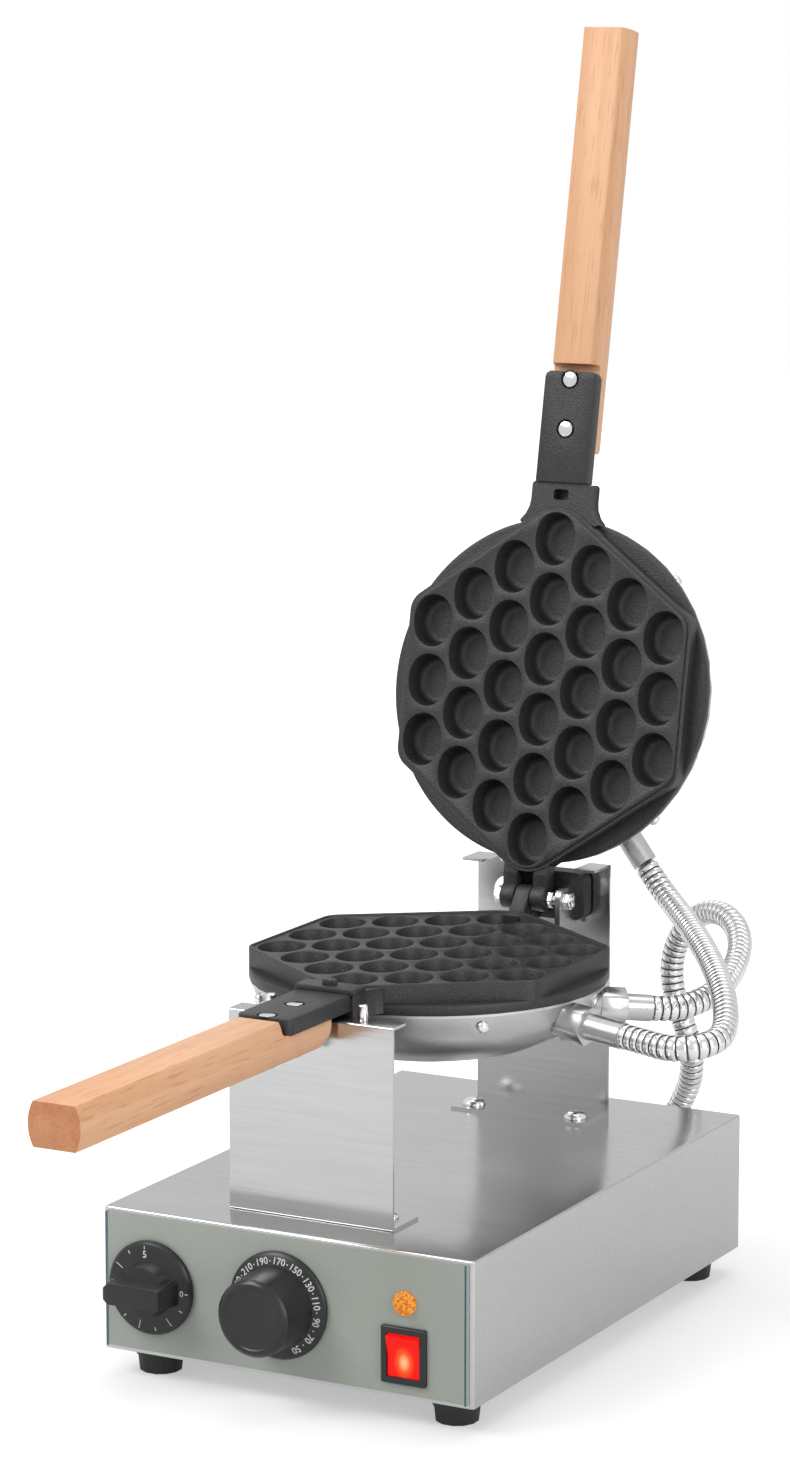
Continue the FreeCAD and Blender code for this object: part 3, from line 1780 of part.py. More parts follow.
# Hoses
def hose_path(points, name):
    """Straight runs joined by tangent arcs; prints the radii."""
    runs = [(b - a).Length for a, b in zip(points, points[1:])]
    pieces = []
    radii = []
    last = points[0]
    for i in range(1, len(points) - 1):
        before = (points[i] - points[i - 1]).normalize()
        after = (points[i + 1] - points[i]).normalize()
        half = math.acos(max(-1, min(1, before.dot(after)))) / 2
        step = route_step_share * min(runs[i - 1], runs[i])
        radii.append(step / math.tan(half))
        enter = points[i] - before * step
        leave = points[i] + after * step
        bisector = (after - before).normalize()
        middle = points[i] + bisector * (radii[-1] / math.cos(half) - radii[-1])
        pieces.append(("line", last, enter))
        pieces.append(("arc", enter, middle, leave))
        last = leave
    pieces.append(("line", last, points[-1]))
    print(name, "bend radii", " ".join("%.0f" % r for r in radii))
    return pieces


def path_wire(pieces):
    edges = []
    for piece in pieces:
        if piece[0] == "line":
            edges.append(Part.LineSegment(piece[1], piece[2]).toShape())
        else:
            edges.append(Part.Arc(piece[1], piece[2], piece[3]).toShape())
    return Part.Wire(edges)


def circle_at(point, direction, diameter, steady):
    """A twelve-sided ring square to the path, as large in area as the circle it stands for."""
    side_way = (steady - direction * steady.dot(direction)).normalize()
    other = direction.cross(side_way)
    step = 2 * math.pi / hose_sides
    radius = diameter / 2 * math.sqrt(step / math.sin(step))
    corners = []
    for i in range(hose_sides):
        out = side_way * math.cos(i * step) + other * math.sin(i * step)
        corners.append(point + out * radius)
    return Part.makePolygon(corners + [corners[0]])


def place_along(wire, distance):
    """The point and the direction at a distance along the path."""
    for edge in wire.Edges:
        if distance <= edge.Length + flat_limit:
            parameter = edge.getParameterByLength(min(max(distance, 0), edge.Length))
            return edge.valueAt(parameter), edge.tangentAt(parameter)
        distance -= edge.Length
    edge = wire.Edges[-1]
    return edge.valueAt(edge.LastParameter), edge.tangentAt(edge.LastParameter)


def ribbed_hose(points, name):
    """A stripwound steel hose: round ribs outside, a plain bore inside, plain ends."""
    wire = path_wire(hose_path(points, name))
    length = wire.Length
    plain = hose_diameter
    valley = hose_diameter - 2 * hose_rib_depth
    count = int((length - 2 * plain) / hose_rib_pitch)
    pitch = (length - 2 * plain) / count
    steady = steady_side(wire)
    marks = [0, plain] + [plain + pitch * (i + 1) for i in range(count)] + [length]
    outer = [ring_at(wire, mark, valley, steady) for mark in marks]
    inner = [ring_at(wire, mark, hose_bore, steady) for mark in marks]
    faces = []
    for i in range(len(marks) - 1):
        rings = [outer[i], outer[i + 1]]
        if 0 < i < len(marks) - 2:
            rise = marks[i] + pitch * rib_slope_share
            fall = marks[i + 1] - pitch * rib_slope_share
            crests = [ring_at(wire, mark, hose_diameter, steady) for mark in (rise, fall)]
            rings = [outer[i]] + crests + [outer[i + 1]]
        faces += Part.makeLoft(rings, False, True).Faces
        faces += Part.makeLoft([inner[i], inner[i + 1]], False, True).Faces
    for i in (0, -1):
        face = Part.Face(outer[i]).cut(Part.Face(inner[i]))
        faces += face.Faces
    shell = Part.makeShell(faces)
    shell.sewShape()
    hose = Part.Solid(shell)
    if hose.Volume < 0:
        hose.reverse()
    slopes = (hose_diameter**2 + hose_diameter * valley + valley**2) / 3
    mean = (1 - 2 * rib_slope_share) * hose_diameter**2 + 2 * rib_slope_share * slopes
    wall = math.pi / 4 * (mean - hose_bore**2)
    told = (name, length, count, hose.Volume, wall * length, hose.isValid())
    print("%s length %.0f, %d ribs, volume %.0f, section x length %.0f, valid %s" % told)
    return hose


def ring_at(wire, distance, diameter, steady):
    """A circle square to the path at a distance along it."""
    point, direction = place_along(wire, distance)
    return circle_at(point, direction, diameter, steady)


def steady_side(wire):
    """A side that no stretch of the path runs along."""
    best = None
    ways = [place_along(wire, wire.Length * i / path_samples)[1] for i in range(path_samples + 1)]
    for candidate in (across, up, back, Vector(1, 1, 1).normalize(), Vector(1, -1, 1).normalize()):
        slants = [candidate.dot(way) for way in ways]
        worst = max(max(slants), -min(slants))
        if best is None or worst < best[0]:
            best = (worst, candidate)
    return best[1]


def link_hose_points():
    start, away = hose_end(link_upper_fitting, link_sleeve_length, True)
    end, leave = hose_end(link_lower_fitting, link_sleeve_length)
    route = [Vector(*p) for p in link_route]
    return [start, start + away * hose_diameter] + route + [end + leave * hose_diameter, end]


def supply_hose_points():
    start, away = hose_end(supply_fitting_place, supply_sleeve_length)
    end = Vector(gland_x, box_back + gland_length, gland_z)
    route = [Vector(*p) for p in supply_route]
    return [start, start + away * hose_diameter] + route + [end + back * hose_diameter, end]


def make_nodes():
    """Every piece by name, in its rest position."""
    casting = upper_pan()
    nodes = {
        "base_housing": base_housing(),
        "bottom_plate": bottom_plate(),
        "control_panel": control_panel(),
        "rubber_feet": rubber_feet(),
        "foot_screws": foot_screws(),
        "timer_body": timer_body(),
        "timer_shaft": control_shaft(timer_x, timer_z),
        "timer_knob": timer_knob(),
        "thermostat_body": thermostat_body(),
        "thermostat_shaft": control_shaft(dial_x, dial_z),
        "thermostat_knob": thermostat_knob(),
        "lamp_body": lamp_body(),
        "lamp_lens": lamp_lens(),
        "rocker_bezel": rocker_bezel(),
        "rocker_button": rocker_button(),
        "terminal_block": terminal_block(),
        "mains_inlet": mains_inlet(),
        "base_gland": base_gland(),
        "front_support": front_support(),
        "front_support_screws": support_screws(support_screw_seats()[:2], front_screw_head),
        "guide_pins": guide_pins(),
        "rear_support": rear_support(),
        "rear_support_screws": support_screws(support_screw_seats()[2:], rear_screw_head),
        "swivel_bush": swivel_bush(),
        "swivel_shaft": swivel_shaft(),
        "swivel_nut": swivel_nut(),
        "swivel_block": swivel_block(),
        "tail_screws": tail_screws(),
        "hinge_tab": hinge_tab(),
        "hinge_bolt": hinge_bolt(),
        "hinge_nuts": hinge_nuts(),
        "lower_pan": lower_pan(),
        "lower_dome": dome(),
        "lower_dome_screws": dome_screws(),
        "lower_element": heating_element(),
        "lower_handle": wood_handle(),
        "lower_handle_screws": handle_screws(),
        "lower_handle_nuts": handle_nuts(),
        "lower_link_fitting": fitting(link_lower_fitting),
        "lower_link_sleeve": sleeve(link_lower_fitting, link_sleeve_length),
        "supply_fitting": fitting(supply_fitting_place),
        "supply_sleeve": sleeve(supply_fitting_place, supply_sleeve_length),
        "upper_pan": opened(casting),
        "lid_ears": opened(lid_ears(casting)),
        "upper_dome": opened(mirrored(dome())),
        "upper_dome_screws": opened(mirrored(dome_screws())),
        "upper_element": opened(mirrored(heating_element())),
        "upper_handle": opened(mirrored(wood_handle())),
        "upper_handle_screws": opened(mirrored(handle_screws())),
        "upper_handle_nuts": opened(mirrored(handle_nuts())),
        "upper_link_fitting": opened(fitting(link_upper_fitting, True)),
        "upper_link_sleeve": opened(sleeve(link_upper_fitting, link_sleeve_length, True)),
        "link_hose": ribbed_hose(link_hose_points(), "link_hose"),
        "supply_hose": ribbed_hose(supply_hose_points(), "supply_hose"),
    }
    return nodes


def origin_shift(nodes):
    """From the box's own origin to the table under the middle of the whole iron."""
    rigid = [shape for name, shape in nodes.items() if not name.endswith(("hose", "sleeve"))]
    room = Part.makeCompound(rigid).optimalBoundingBox(False, False)
    return Vector(-(room.XMin + room.XMax) / 2, -(room.YMin + room.YMax) / 2, -room.ZMin)


def main():
    nodes = make_nodes()
    shift = origin_shift(nodes)
    print("origin shift %.3f %.3f %.3f" % (shift.x, shift.y, shift.z))
    os.makedirs("parts", exist_ok=True)
    for name, shape in nodes.items():
        shape.translate(shift)
        shape.exportStep("parts/%s.step" % name)


main()
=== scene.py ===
"""Electric bubble waffle iron: a hinged pair of cast pans on a steel control box.

Lengths are in metres in the CAD frame: X to the right along the control panel, Y from the
panel to the hinge, Z up from the table.
"""

import math

import bmesh
import bpy
from mathutils import Matrix, Vector
from mathutils.bvhtree import BVHTree


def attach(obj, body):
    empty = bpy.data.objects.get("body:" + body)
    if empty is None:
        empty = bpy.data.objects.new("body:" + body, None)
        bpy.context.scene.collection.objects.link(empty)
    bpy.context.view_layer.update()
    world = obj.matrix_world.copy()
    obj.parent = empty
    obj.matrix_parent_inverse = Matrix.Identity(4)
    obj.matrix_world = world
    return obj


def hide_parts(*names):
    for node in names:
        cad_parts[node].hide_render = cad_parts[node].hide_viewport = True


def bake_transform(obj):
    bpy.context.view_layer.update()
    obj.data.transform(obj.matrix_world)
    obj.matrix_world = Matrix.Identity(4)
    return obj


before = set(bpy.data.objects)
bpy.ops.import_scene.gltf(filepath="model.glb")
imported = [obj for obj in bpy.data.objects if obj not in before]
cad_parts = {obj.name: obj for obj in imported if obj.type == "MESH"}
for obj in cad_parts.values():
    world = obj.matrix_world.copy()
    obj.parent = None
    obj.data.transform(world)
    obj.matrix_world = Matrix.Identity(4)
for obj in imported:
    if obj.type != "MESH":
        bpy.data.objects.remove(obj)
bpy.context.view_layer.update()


# Studio
# The iron stands on a plain white table in a white room, seen from the right and a little
# above through a long lens, as a product photograph is taken.
scene = bpy.context.scene
scene.view_settings.view_transform = "Standard"
photo_height = 1482
focal_pixels = 4367.9
camera_down = 0.1723
camera_left = 0.4946
camera_data = bpy.data.cameras.new("camera")
camera_data.sensor_width = 36.0
camera_data.lens = focal_pixels * camera_data.sensor_width / photo_height
camera_data.clip_end = 20.0
camera = bpy.data.objects.new("camera", camera_data)
camera.location = (1.0896, -1.98675, 0.7334)
camera.rotation_euler = (math.pi / 2 - camera_down, 0.0, camera_left)
scene.collection.objects.link(camera)
scene.camera = camera


def soft_light(name, place, target, width, height, power):
    """A large soft box aimed at a point on the iron."""
    data = bpy.data.lights.new(name, "AREA")
    data.shape = "RECTANGLE"
    data.size = width
    data.size_y = height
    data.energy = power
    lamp = bpy.data.objects.new(name, data)
    lamp.location = place
    aim = Vector(target) - Vector(place)
    lamp.rotation_euler = aim.to_track_quat("-Z", "Y").to_euler()
    scene.collection.objects.link(lamp)


soft_light("key_box", (-1.3, -1.5, 2.1), (0.0, 0.0, 0.2), 1.6, 1.2, 40.0)
soft_light("fill_box", (2.3, -0.9, 1.0), (0.0, 0.0, 0.25), 1.2, 1.6, 22.0)
soft_light("top_box", (0.1, 0.5, 2.4), (0.0, 0.0, 0.1), 1.8, 1.4, 14.0)


def sum_node(nodes, operation, *numbers):
    """A node for one sum; the numbers go to its second and third inputs."""
    node = nodes.new("ShaderNodeMath")
    node.operation = operation
    for socket, number in zip(node.inputs[1:], numbers):
        socket.default_value = number
    return node


def ramp_node(nodes, first, last):
    """A colour ramp from one (position, colour) stop to another."""
    node = nodes.new("ShaderNodeValToRGB")
    for stop, (position, colour) in zip(node.color_ramp.elements, (first, last)):
        stop.position = position
        stop.color = (*colour, 1.0)
    return node


room = bpy.data.worlds.new("white_room")
room.use_nodes = True
scene.world = room
room_nodes = room.node_tree.nodes
room_links = room.node_tree.links
room_nodes.clear()
room_output = room_nodes.new("ShaderNodeOutputWorld")
room_mix = room_nodes.new("ShaderNodeMixShader")
room_light = room_nodes.new("ShaderNodeBackground")
room_white = room_nodes.new("ShaderNodeBackground")
room_white.inputs["Color"].default_value = (1.0, 1.0, 1.0, 1.0)
room_rays = room_nodes.new("ShaderNodeLightPath")
room_place = room_nodes.new("ShaderNodeTexCoord")
room_split = room_nodes.new("ShaderNodeSeparateXYZ")
room_ramp = ramp_node(room_nodes, (0.30, (0.30, 0.30, 0.31)), (0.85, (0.95, 0.96, 1.0)))
room_half = sum_node(room_nodes, "MULTIPLY_ADD", 0.5, 0.5)
room_links.new(room_place.outputs["Generated"], room_split.inputs["Vector"])
room_links.new(room_split.outputs["Z"], room_half.inputs[0])
room_links.new(room_half.outputs["Value"], room_ramp.inputs["Fac"])
room_links.new(room_ramp.outputs["Color"], room_light.inputs["Color"])
room_light.inputs["Strength"].default_value = 0.62
room_gloss = sum_node(room_nodes, "MAXIMUM")
room_share = sum_node(room_nodes, "MULTIPLY", 0.6)
room_links.new(room_rays.outputs["Is Glossy Ray"], room_share.inputs[0])
room_links.new(room_rays.outputs["Is Camera Ray"], room_gloss.inputs[0])
room_links.new(room_share.outputs["Value"], room_gloss.inputs[1])
room_links.new(room_gloss.outputs["Value"], room_mix.inputs["Fac"])
room_links.new(room_light.outputs["Background"], room_mix.inputs[1])
room_links.new(room_white.outputs["Background"], room_mix.inputs[2])
room_links.new(room_mix.outputs["Shader"], room_output.inputs["Surface"])


# Table
# A plain white table top that fades into the white room; it keeps the iron's soft shadow.
def new_material(name, base, roughness, metallic=0.0):
    """A material with the given plain values; returns it with its nodes and links."""
    material = bpy.data.materials.new(name)
    material.use_nodes = True
    nodes = material.node_tree.nodes
    shader = nodes["Principled BSDF"]
    shader.inputs["Base Color"].default_value = (*base, 1.0)
    shader.inputs["Roughness"].default_value = roughness
    shader.inputs["Metallic"].default_value = metallic
    return material, nodes, material.node_tree.links, shader


def mesh_piece(name, shape, *materials):
    """The shape as an object in the scene, with its materials; the shape is used up."""
    mesh = bpy.data.meshes.new(name)
    shape.to_mesh(mesh)
    shape.free()
    for material in materials:
        mesh.materials.append(material)
    piece = bpy.data.objects.new(name, mesh)
    scene.collection.objects.link(piece)
    return piece


table_material, table_nodes, table_links, table_shader = new_material(
    "white_table", (0.62, 0.62, 0.62), 0.7
)
table_glow = table_nodes.new("ShaderNodeEmission")
table_rays = table_nodes.new("ShaderNodeLightPath")
table_add = table_nodes.new("ShaderNodeAddShader")
table_place = table_nodes.new("ShaderNodeTexCoord")
table_reach = table_nodes.new("ShaderNodeVectorMath")
table_reach.operation = "LENGTH"
table_fade = table_nodes.new("ShaderNodeMapRange")
table_fade.inputs["From Min"].default_value = 0.25
table_fade.inputs["From Max"].default_value = 0.95
table_fade.inputs["To Min"].default_value = 0.40
table_fade.inputs["To Max"].default_value = 0.85
table_seen = sum_node(table_nodes, "MAXIMUM")
table_gate = sum_node(table_nodes, "MULTIPLY")
table_gloss = sum_node(table_nodes, "MULTIPLY", 0.4)
table_links.new(table_place.outputs["Object"], table_reach.inputs[0])
table_links.new(table_reach.outputs["Value"], table_fade.inputs["Value"])
table_links.new(table_rays.outputs["Is Camera Ray"], table_seen.inputs[0])
table_links.new(table_rays.outputs["Is Glossy Ray"], table_gloss.inputs[0])
table_links.new(table_gloss.outputs["Value"], table_seen.inputs[1])
table_links.new(table_seen.outputs["Value"], table_gate.inputs[0])
table_links.new(table_fade.outputs["Result"], table_gate.inputs[1])
table_links.new(table_gate.outputs["Value"], table_glow.inputs["Strength"])
table_links.new(table_shader.outputs["BSDF"], table_add.inputs[0])
table_links.new(table_glow.outputs["Emission"], table_add.inputs[1])
table_links.new(table_add.outputs["Shader"], table_nodes["Material Output"].inputs["Surface"])

table_shape = bmesh.new()
bmesh.ops.create_circle(table_shape, cap_ends=True, radius=6.0, segments=96)
table_top = mesh_piece("table_top", table_shape, table_material)


# Steel hoses
# Stripwound bright steel conduit, wound from a folded strip so that it shows narrow seams between
# round bands; the seam grooves carry painted shade, a dark steel material. One runs from the lower
# dome to the lid's dome, the other from the lower dome down behind the box. Their ends are clamped in plain
# steel sleeves.
hose_diameter = 0.014
band_pitch = 0.0045
band_sides = 28
# The box's own origin in the frame
shift_y = 0.079851
shift_z = 0.015
link_route = [
    (0.0535, 0.1570, 0.2198),
    (0.0621, 0.1564, 0.2088),
    (0.0800, 0.1420, 0.2000),
    (0.1053, 0.1100, 0.1955),
    (0.1303, 0.0750, 0.1909),
    (0.1527, 0.0400, 0.1864),
    (0.1683, 0.0130, 0.1805),
    (0.1785, -0.0100, 0.1725),
    (0.1790, -0.0260, 0.1700),
    (0.1710, -0.0375, 0.1685),
    (0.1580, -0.0395, 0.1675),
    (0.1433, -0.0348, 0.1683),
    (0.1296, -0.0321, 0.1692),
]


def noisy_value(nodes, links, scale, low, high, stretch=(1.0, 1.0, 1.0), detail=6.0):
    """A number that wanders between two values over the surface, in object space."""
    place = nodes.new("ShaderNodeTexCoord")
    mapping = nodes.new("ShaderNodeMapping")
    mapping.inputs["Scale"].default_value = stretch
    cloud = nodes.new("ShaderNodeTexNoise")
    cloud.inputs["Scale"].default_value = scale
    cloud.inputs["Detail"].default_value = detail
    spread = nodes.new("ShaderNodeMapRange")
    spread.inputs["From Min"].default_value = 0.3
    spread.inputs["From Max"].default_value = 0.7
    spread.inputs["To Min"].default_value = low
    spread.inputs["To Max"].default_value = high
    links.new(place.outputs["Object"], mapping.inputs["Vector"])
    links.new(mapping.outputs["Vector"], cloud.inputs["Vector"])
    links.new(cloud.outputs["Fac"], spread.inputs["Value"])
    return spread.outputs["Result"]


def bumped(nodes, links, shader, height, distance, strength=1.0):
    """Lets a height drive the shader's normal."""
    bump = nodes.new("ShaderNodeBump")
    bump.inputs["Distance"].default_value = distance
    bump.inputs["Strength"].default_value = strength
    links.new(height, bump.inputs["Height"])
    links.new(bump.outputs["Normal"], shader.inputs["Normal"])


def tinted(nodes, links, shader, amount, first, second):
    """Mixes two colours by an amount into the base colour."""
    blend = nodes.new("ShaderNodeMixRGB")
    blend.inputs["Color1"].default_value = (*first, 1.0)
    blend.inputs["Color2"].default_value = (*second, 1.0)
    links.new(amount, blend.inputs["Fac"])
    links.new(blend.outputs["Color"], shader.inputs["Base Color"])
    return blend


def grained(name, base, roughness, metallic, scale, first, second, depth=0.0, strength=0.5, detail=6.0):
    """A material whose fine grains wander between two colours and may stand up a little."""
    material, nodes, links, shader = new_material(name, base, roughness, metallic)
    grain = noisy_value(nodes, links, scale, 0.0, 1.0, detail=detail)
    tinted(nodes, links, shader, grain, first, second)
    if depth:
        bumped(nodes, links, shader, grain, depth, strength)
    return material


def brushed_steel(name, base, roughness, stretch, depth=0.00002):
    """Bright sheet steel with fine brush lines; the stretch sets which way they run."""
    material, nodes, links, shader = new_material(name, base, roughness, 1.0)
    lines = noisy_value(nodes, links, 900.0, 0.0, 1.0, stretch, 3.0)
    bumped(nodes, links, shader, lines, depth, 0.5)
    gloss = noisy_value(nodes, links, 14.0, roughness * 0.8, roughness * 1.35)
    links.new(gloss, shader.inputs["Roughness"])
    tone = noisy_value(nodes, links, 500.0, 0.0, 1.0, stretch, 2.0)
    darker = tuple(c * 0.93 for c in base)
    tinted(nodes, links, shader, tone, base, darker)
    return material


hose_steel, hose_nodes, hose_links, hose_shader = new_material(
    "hose_steel", (0.84, 0.84, 0.83), 0.16, 1.0
)
hose_gloss = noisy_value(hose_nodes, hose_links, 60.0, 0.12, 0.24)
hose_links.new(hose_gloss, hose_shader.inputs["Roughness"])
hose_tone = noisy_value(hose_nodes, hose_links, 90.0, 0.0, 1.0)
tinted(hose_nodes, hose_links, hose_shader, hose_tone, (0.86, 0.86, 0.85), (0.74, 0.74, 0.74))
# Painted shade for the hose's seam grooves: a dark steel in place of the shade that falls in them
seam_painted_shade = grained(
    "seam_painted_shade", (0.09, 0.09, 0.09), 0.5, 1.0, 300.0, (0.05, 0.05, 0.05), (0.14, 0.14, 0.135)
)


def smooth_line(points):
    """The route as one smooth curve: evenly spaced points along a NURBS spline."""
    data = bpy.data.curves.new("route", "CURVE")
    data.dimensions = "3D"
    spline = data.splines.new("NURBS")
    spline.points.add(len(points) - 1)
    for knot, (x, y, z) in zip(spline.points, points):
        knot.co = (x, y, z, 1.0)
    spline.order_u = 3
    spline.use_endpoint_u = True
    spline.resolution_u = 24
    holder = bpy.data.objects.new("route", data)
    line = bpy.data.meshes.new_from_object(holder)
    path = [v.co.copy() for v in line.vertices]
    bpy.data.objects.remove(holder)
    bpy.data.meshes.remove(line)
    bpy.data.curves.remove(data)
    return path


def along(path):
    """The running length at every point of a path."""
    lengths = [0.0]
    for a, b in zip(path, path[1:]):
        lengths.append(lengths[-1] + (b - a).length)
    return lengths


def point_along(path, lengths, distance):
    """The place and the heading at a distance along a path."""
    last = len(path) - 2
    i = 0
    while i < last and lengths[i + 1] < distance:
        i += 1
    share = (distance - lengths[i]) / (lengths[i + 1] - lengths[i])
    place = path[i].lerp(path[i + 1], share)
    before = (path[i + 1] - path[max(i - 1, 0)]).normalized()
    after = (path[min(i + 2, len(path) - 1)] - path[i]).normalized()
    return place, before.lerp(after, share).normalized()


def stripwound(name, route):
    """A hose of round bands with narrow seams, swept along its route."""
    path = smooth_line(route)
    lengths = along(path)
    whole = lengths[-1]
    count = round(whole / band_pitch)
    pitch = whole / count
    radius = hose_diameter / 2
    # Each ring of one band: its share of the pitch and its share of the radius
    band = [
        (0.0, 0.84), (0.13, 0.84), (0.15, 0.93), (0.24, 0.985),
        (0.42, 1.0), (0.7, 1.0), (0.9, 0.975), (0.98, 0.93),
    ]
    stations = [((i + share) * pitch, radius * size) for i in range(count) for share, size in band]
    stations.append((whole, radius * band[0][1]))
    shape = bmesh.new()
    rings = []
    side = Vector((1.0, 0.3, 0.2))
    turns = [2 * math.pi * k / band_sides for k in range(band_sides)]
    for distance, size in stations:
        place, heading = point_along(path, lengths, distance)
        side = (side - heading * side.dot(heading)).normalized()
        other = heading.cross(side)
        spokes = [side * math.cos(turn) + other * math.sin(turn) for turn in turns]
        rings.append([shape.verts.new(place + spoke * size) for spoke in spokes])
    # The faces that lie in the groove, which take the painted shade material
    seams = (0, 1, len(band) - 1)
    for i, (a, b) in enumerate(zip(rings, rings[1:])):
        for k in range(band_sides):
            n = (k + 1) % band_sides
            face = shape.faces.new((a[k], a[n], b[n], b[k]))
            face.material_index = 1 if i % len(band) in seams else 0
    shape.faces.new(rings[0][::-1])
    shape.faces.new(rings[-1])
    bmesh.ops.recalc_face_normals(shape, faces=shape.faces)
    piece = mesh_piece(name, shape, hose_steel, seam_painted_shade)
    piece.data.shade_smooth()
    piece.data.set_sharp_from_angle(angle=math.radians(40))
    return piece, path, whole


def in_frame(points):
    """Route points, measured from the box's own origin, in the frame's place."""
    return [(x, y + shift_y, z + shift_z) for x, y, z in points]


link_points = in_frame(link_route)
link_hose, link_path, link_length = stripwound("link_hose_bands", link_points)
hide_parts("link_hose")
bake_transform(link_hose)

supply_route = [
    (0.1135, 0.0365, 0.1683),
    (0.1242, 0.0455, 0.1668),
    (0.1332, 0.0620, 0.1698),
    (0.1340, 0.0820, 0.1718),
    (0.1305, 0.1060, 0.1756),
    (0.1252, 0.1300, 0.1828),
    (0.1140, 0.1510, 0.1908),
    (0.0990, 0.1650, 0.1953),
    (0.0818, 0.1770, 0.1922),
    (0.0664, 0.1860, 0.1815),
    (0.0572, 0.1900, 0.1667),
    (0.0543, 0.1910, 0.1514),
    (0.0571, 0.1910, 0.1356),
    (0.0635, 0.1900, 0.1210),
    (0.0674, 0.1930, 0.1059),
    (0.0644, 0.2000, 0.0902),
    (0.0580, 0.2090, 0.0780),
    (0.0500, 0.2125, 0.0640),
    (0.0455, 0.2080, 0.0515),
    (0.0440, 0.1925, 0.0450),
    (0.0440, 0.1785, 0.0450),
]
supply_points = in_frame(supply_route)
supply_hose, supply_path, supply_length = stripwound("supply_hose_bands", supply_points)
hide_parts("supply_hose")
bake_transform(supply_hose)


# Control box
# A folded stainless box, brushed bright, with a loose bottom plate, four black rubber feet and
# a grey-green film on its front. Two sheet supports screwed to its top carry the pans.
round_edges = bpy.data.node_groups.new("round_edges", "GeometryNodeTree")
round_edges.interface.new_socket("Geometry", in_out="INPUT", socket_type="NodeSocketGeometry")
round_edges.interface.new_socket("Geometry", in_out="OUTPUT", socket_type="NodeSocketGeometry")
round_start = round_edges.nodes.new("NodeGroupInput")
round_end = round_edges.nodes.new("NodeGroupOutput")
round_plain = round_edges.nodes.new("GeometryNodeRemoveAttribute")
round_plain.inputs["Name"].default_value = "custom_normal"
round_faces = round_edges.nodes.new("GeometryNodeSetShadeSmooth")
round_faces.domain = "FACE"
round_corners = round_edges.nodes.new("GeometryNodeSetShadeSmooth")
round_corners.domain = "EDGE"
round_corners.inputs["Shade Smooth"].default_value = False
round_angle = round_edges.nodes.new("GeometryNodeInputMeshEdgeAngle")
round_limit = round_edges.nodes.new("FunctionNodeCompare")
round_limit.data_type = "FLOAT"
round_limit.operation = "GREATER_THAN"
round_limit.inputs[1].default_value = math.radians(36)
round_edges.links.new(round_start.outputs[0], round_plain.inputs["Geometry"])
round_edges.links.new(round_plain.outputs["Geometry"], round_faces.inputs["Geometry"])
round_edges.links.new(round_faces.outputs["Geometry"], round_corners.inputs["Geometry"])
round_edges.links.new(round_angle.outputs["Unsigned Angle"], round_limit.inputs[0])
round_edges.links.new(round_limit.outputs["Result"], round_corners.inputs["Selection"])
round_edges.links.new(round_corners.outputs["Geometry"], round_end.inputs[0])


merge_distance = 0.000002


def finish_node(node, material, edge=0.0):
    """Gives a CAD piece its material, a soft edge of a width, and smooth turned surfaces."""
    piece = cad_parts[node]
    piece.data.materials.clear()
    piece.data.materials.append(material)
    weld = piece.modifiers.new("joined", "WELD")
    weld.merge_threshold = merge_distance
    if edge:
        bevel = piece.modifiers.new("edge", "BEVEL")
        bevel.width = edge
        bevel.segments = 2
        bevel.limit_method = "ANGLE"
        bevel.angle_limit = math.radians(40)
        bevel.use_clamp_overlap = True
    smooth = piece.modifiers.new("smooth", "NODES")
    smooth.node_group = round_edges


sheet_steel = brushed_steel("sheet_steel", (0.58, 0.58, 0.575), 0.18, (0.03, 1.0, 1.0))
finish_node("base_housing", sheet_steel)
finish_node("bottom_plate", sheet_steel)

panel_film = grained(
    "panel_film", (0.36, 0.40, 0.35), 0.38, 0.0, 1400.0,
    (0.375, 0.405, 0.36), (0.345, 0.38, 0.335), 0.00001, 0.4,
)
finish_node("control_panel", panel_film)

foot_rubber = grained(
    "foot_rubber", (0.018, 0.018, 0.019), 0.55, 0.0, 900.0,
    (0.016, 0.016, 0.017), (0.03, 0.03, 0.03), 0.00006, 0.6,
)
finish_node("rubber_feet", foot_rubber, 0.0008)

bright_chrome = brushed_steel("bright_chrome", (0.86, 0.86, 0.86), 0.1, (1.0, 1.0, 1.0), 0.000005)
for node in ("foot_screws", "base_gland", "front_support_screws", "guide_pins", "rear_support_screws"):
    finish_node(node, bright_chrome, 0.0004)
for node in ("front_support", "rear_support"):
    finish_node(node, sheet_steel)


# Works inside the box
# The timer, thermostat, lamp holder, terminal block and appliance inlet, moulded in grey and
# black plastic and screwed to the box from inside, with the black knobs on their steel shafts.
works_plastic = grained(
    "works_plastic", (0.22, 0.22, 0.215), 0.5, 0.0, 700.0,
    (0.2, 0.2, 0.2), (0.25, 0.25, 0.24), 0.00003, 0.5,
)
for node in ("timer_body", "thermostat_body", "lamp_body", "terminal_block"):
    finish_node(node, works_plastic)

black_plastic, black_nodes, black_links, black_shader = new_material(
    "black_plastic", (0.012, 0.012, 0.013), 0.32
)
black_grain = noisy_value(black_nodes, black_links, 1200.0, 0.0, 1.0)
bumped(black_nodes, black_links, black_shader, black_grain, 0.00002, 0.5)
black_wear = noisy_value(black_nodes, black_links, 40.0, 0.26, 0.42)
black_links.new(black_wear, black_shader.inputs["Roughness"])
finish_node("mains_inlet", black_plastic)
finish_node("rocker_bezel", black_plastic, 0.0004)
finish_node("timer_knob", black_plastic, 0.0005)
finish_node("thermostat_knob", black_plastic, 0.0005)
finish_node("timer_shaft", sheet_steel)
finish_node("thermostat_shaft", sheet_steel)


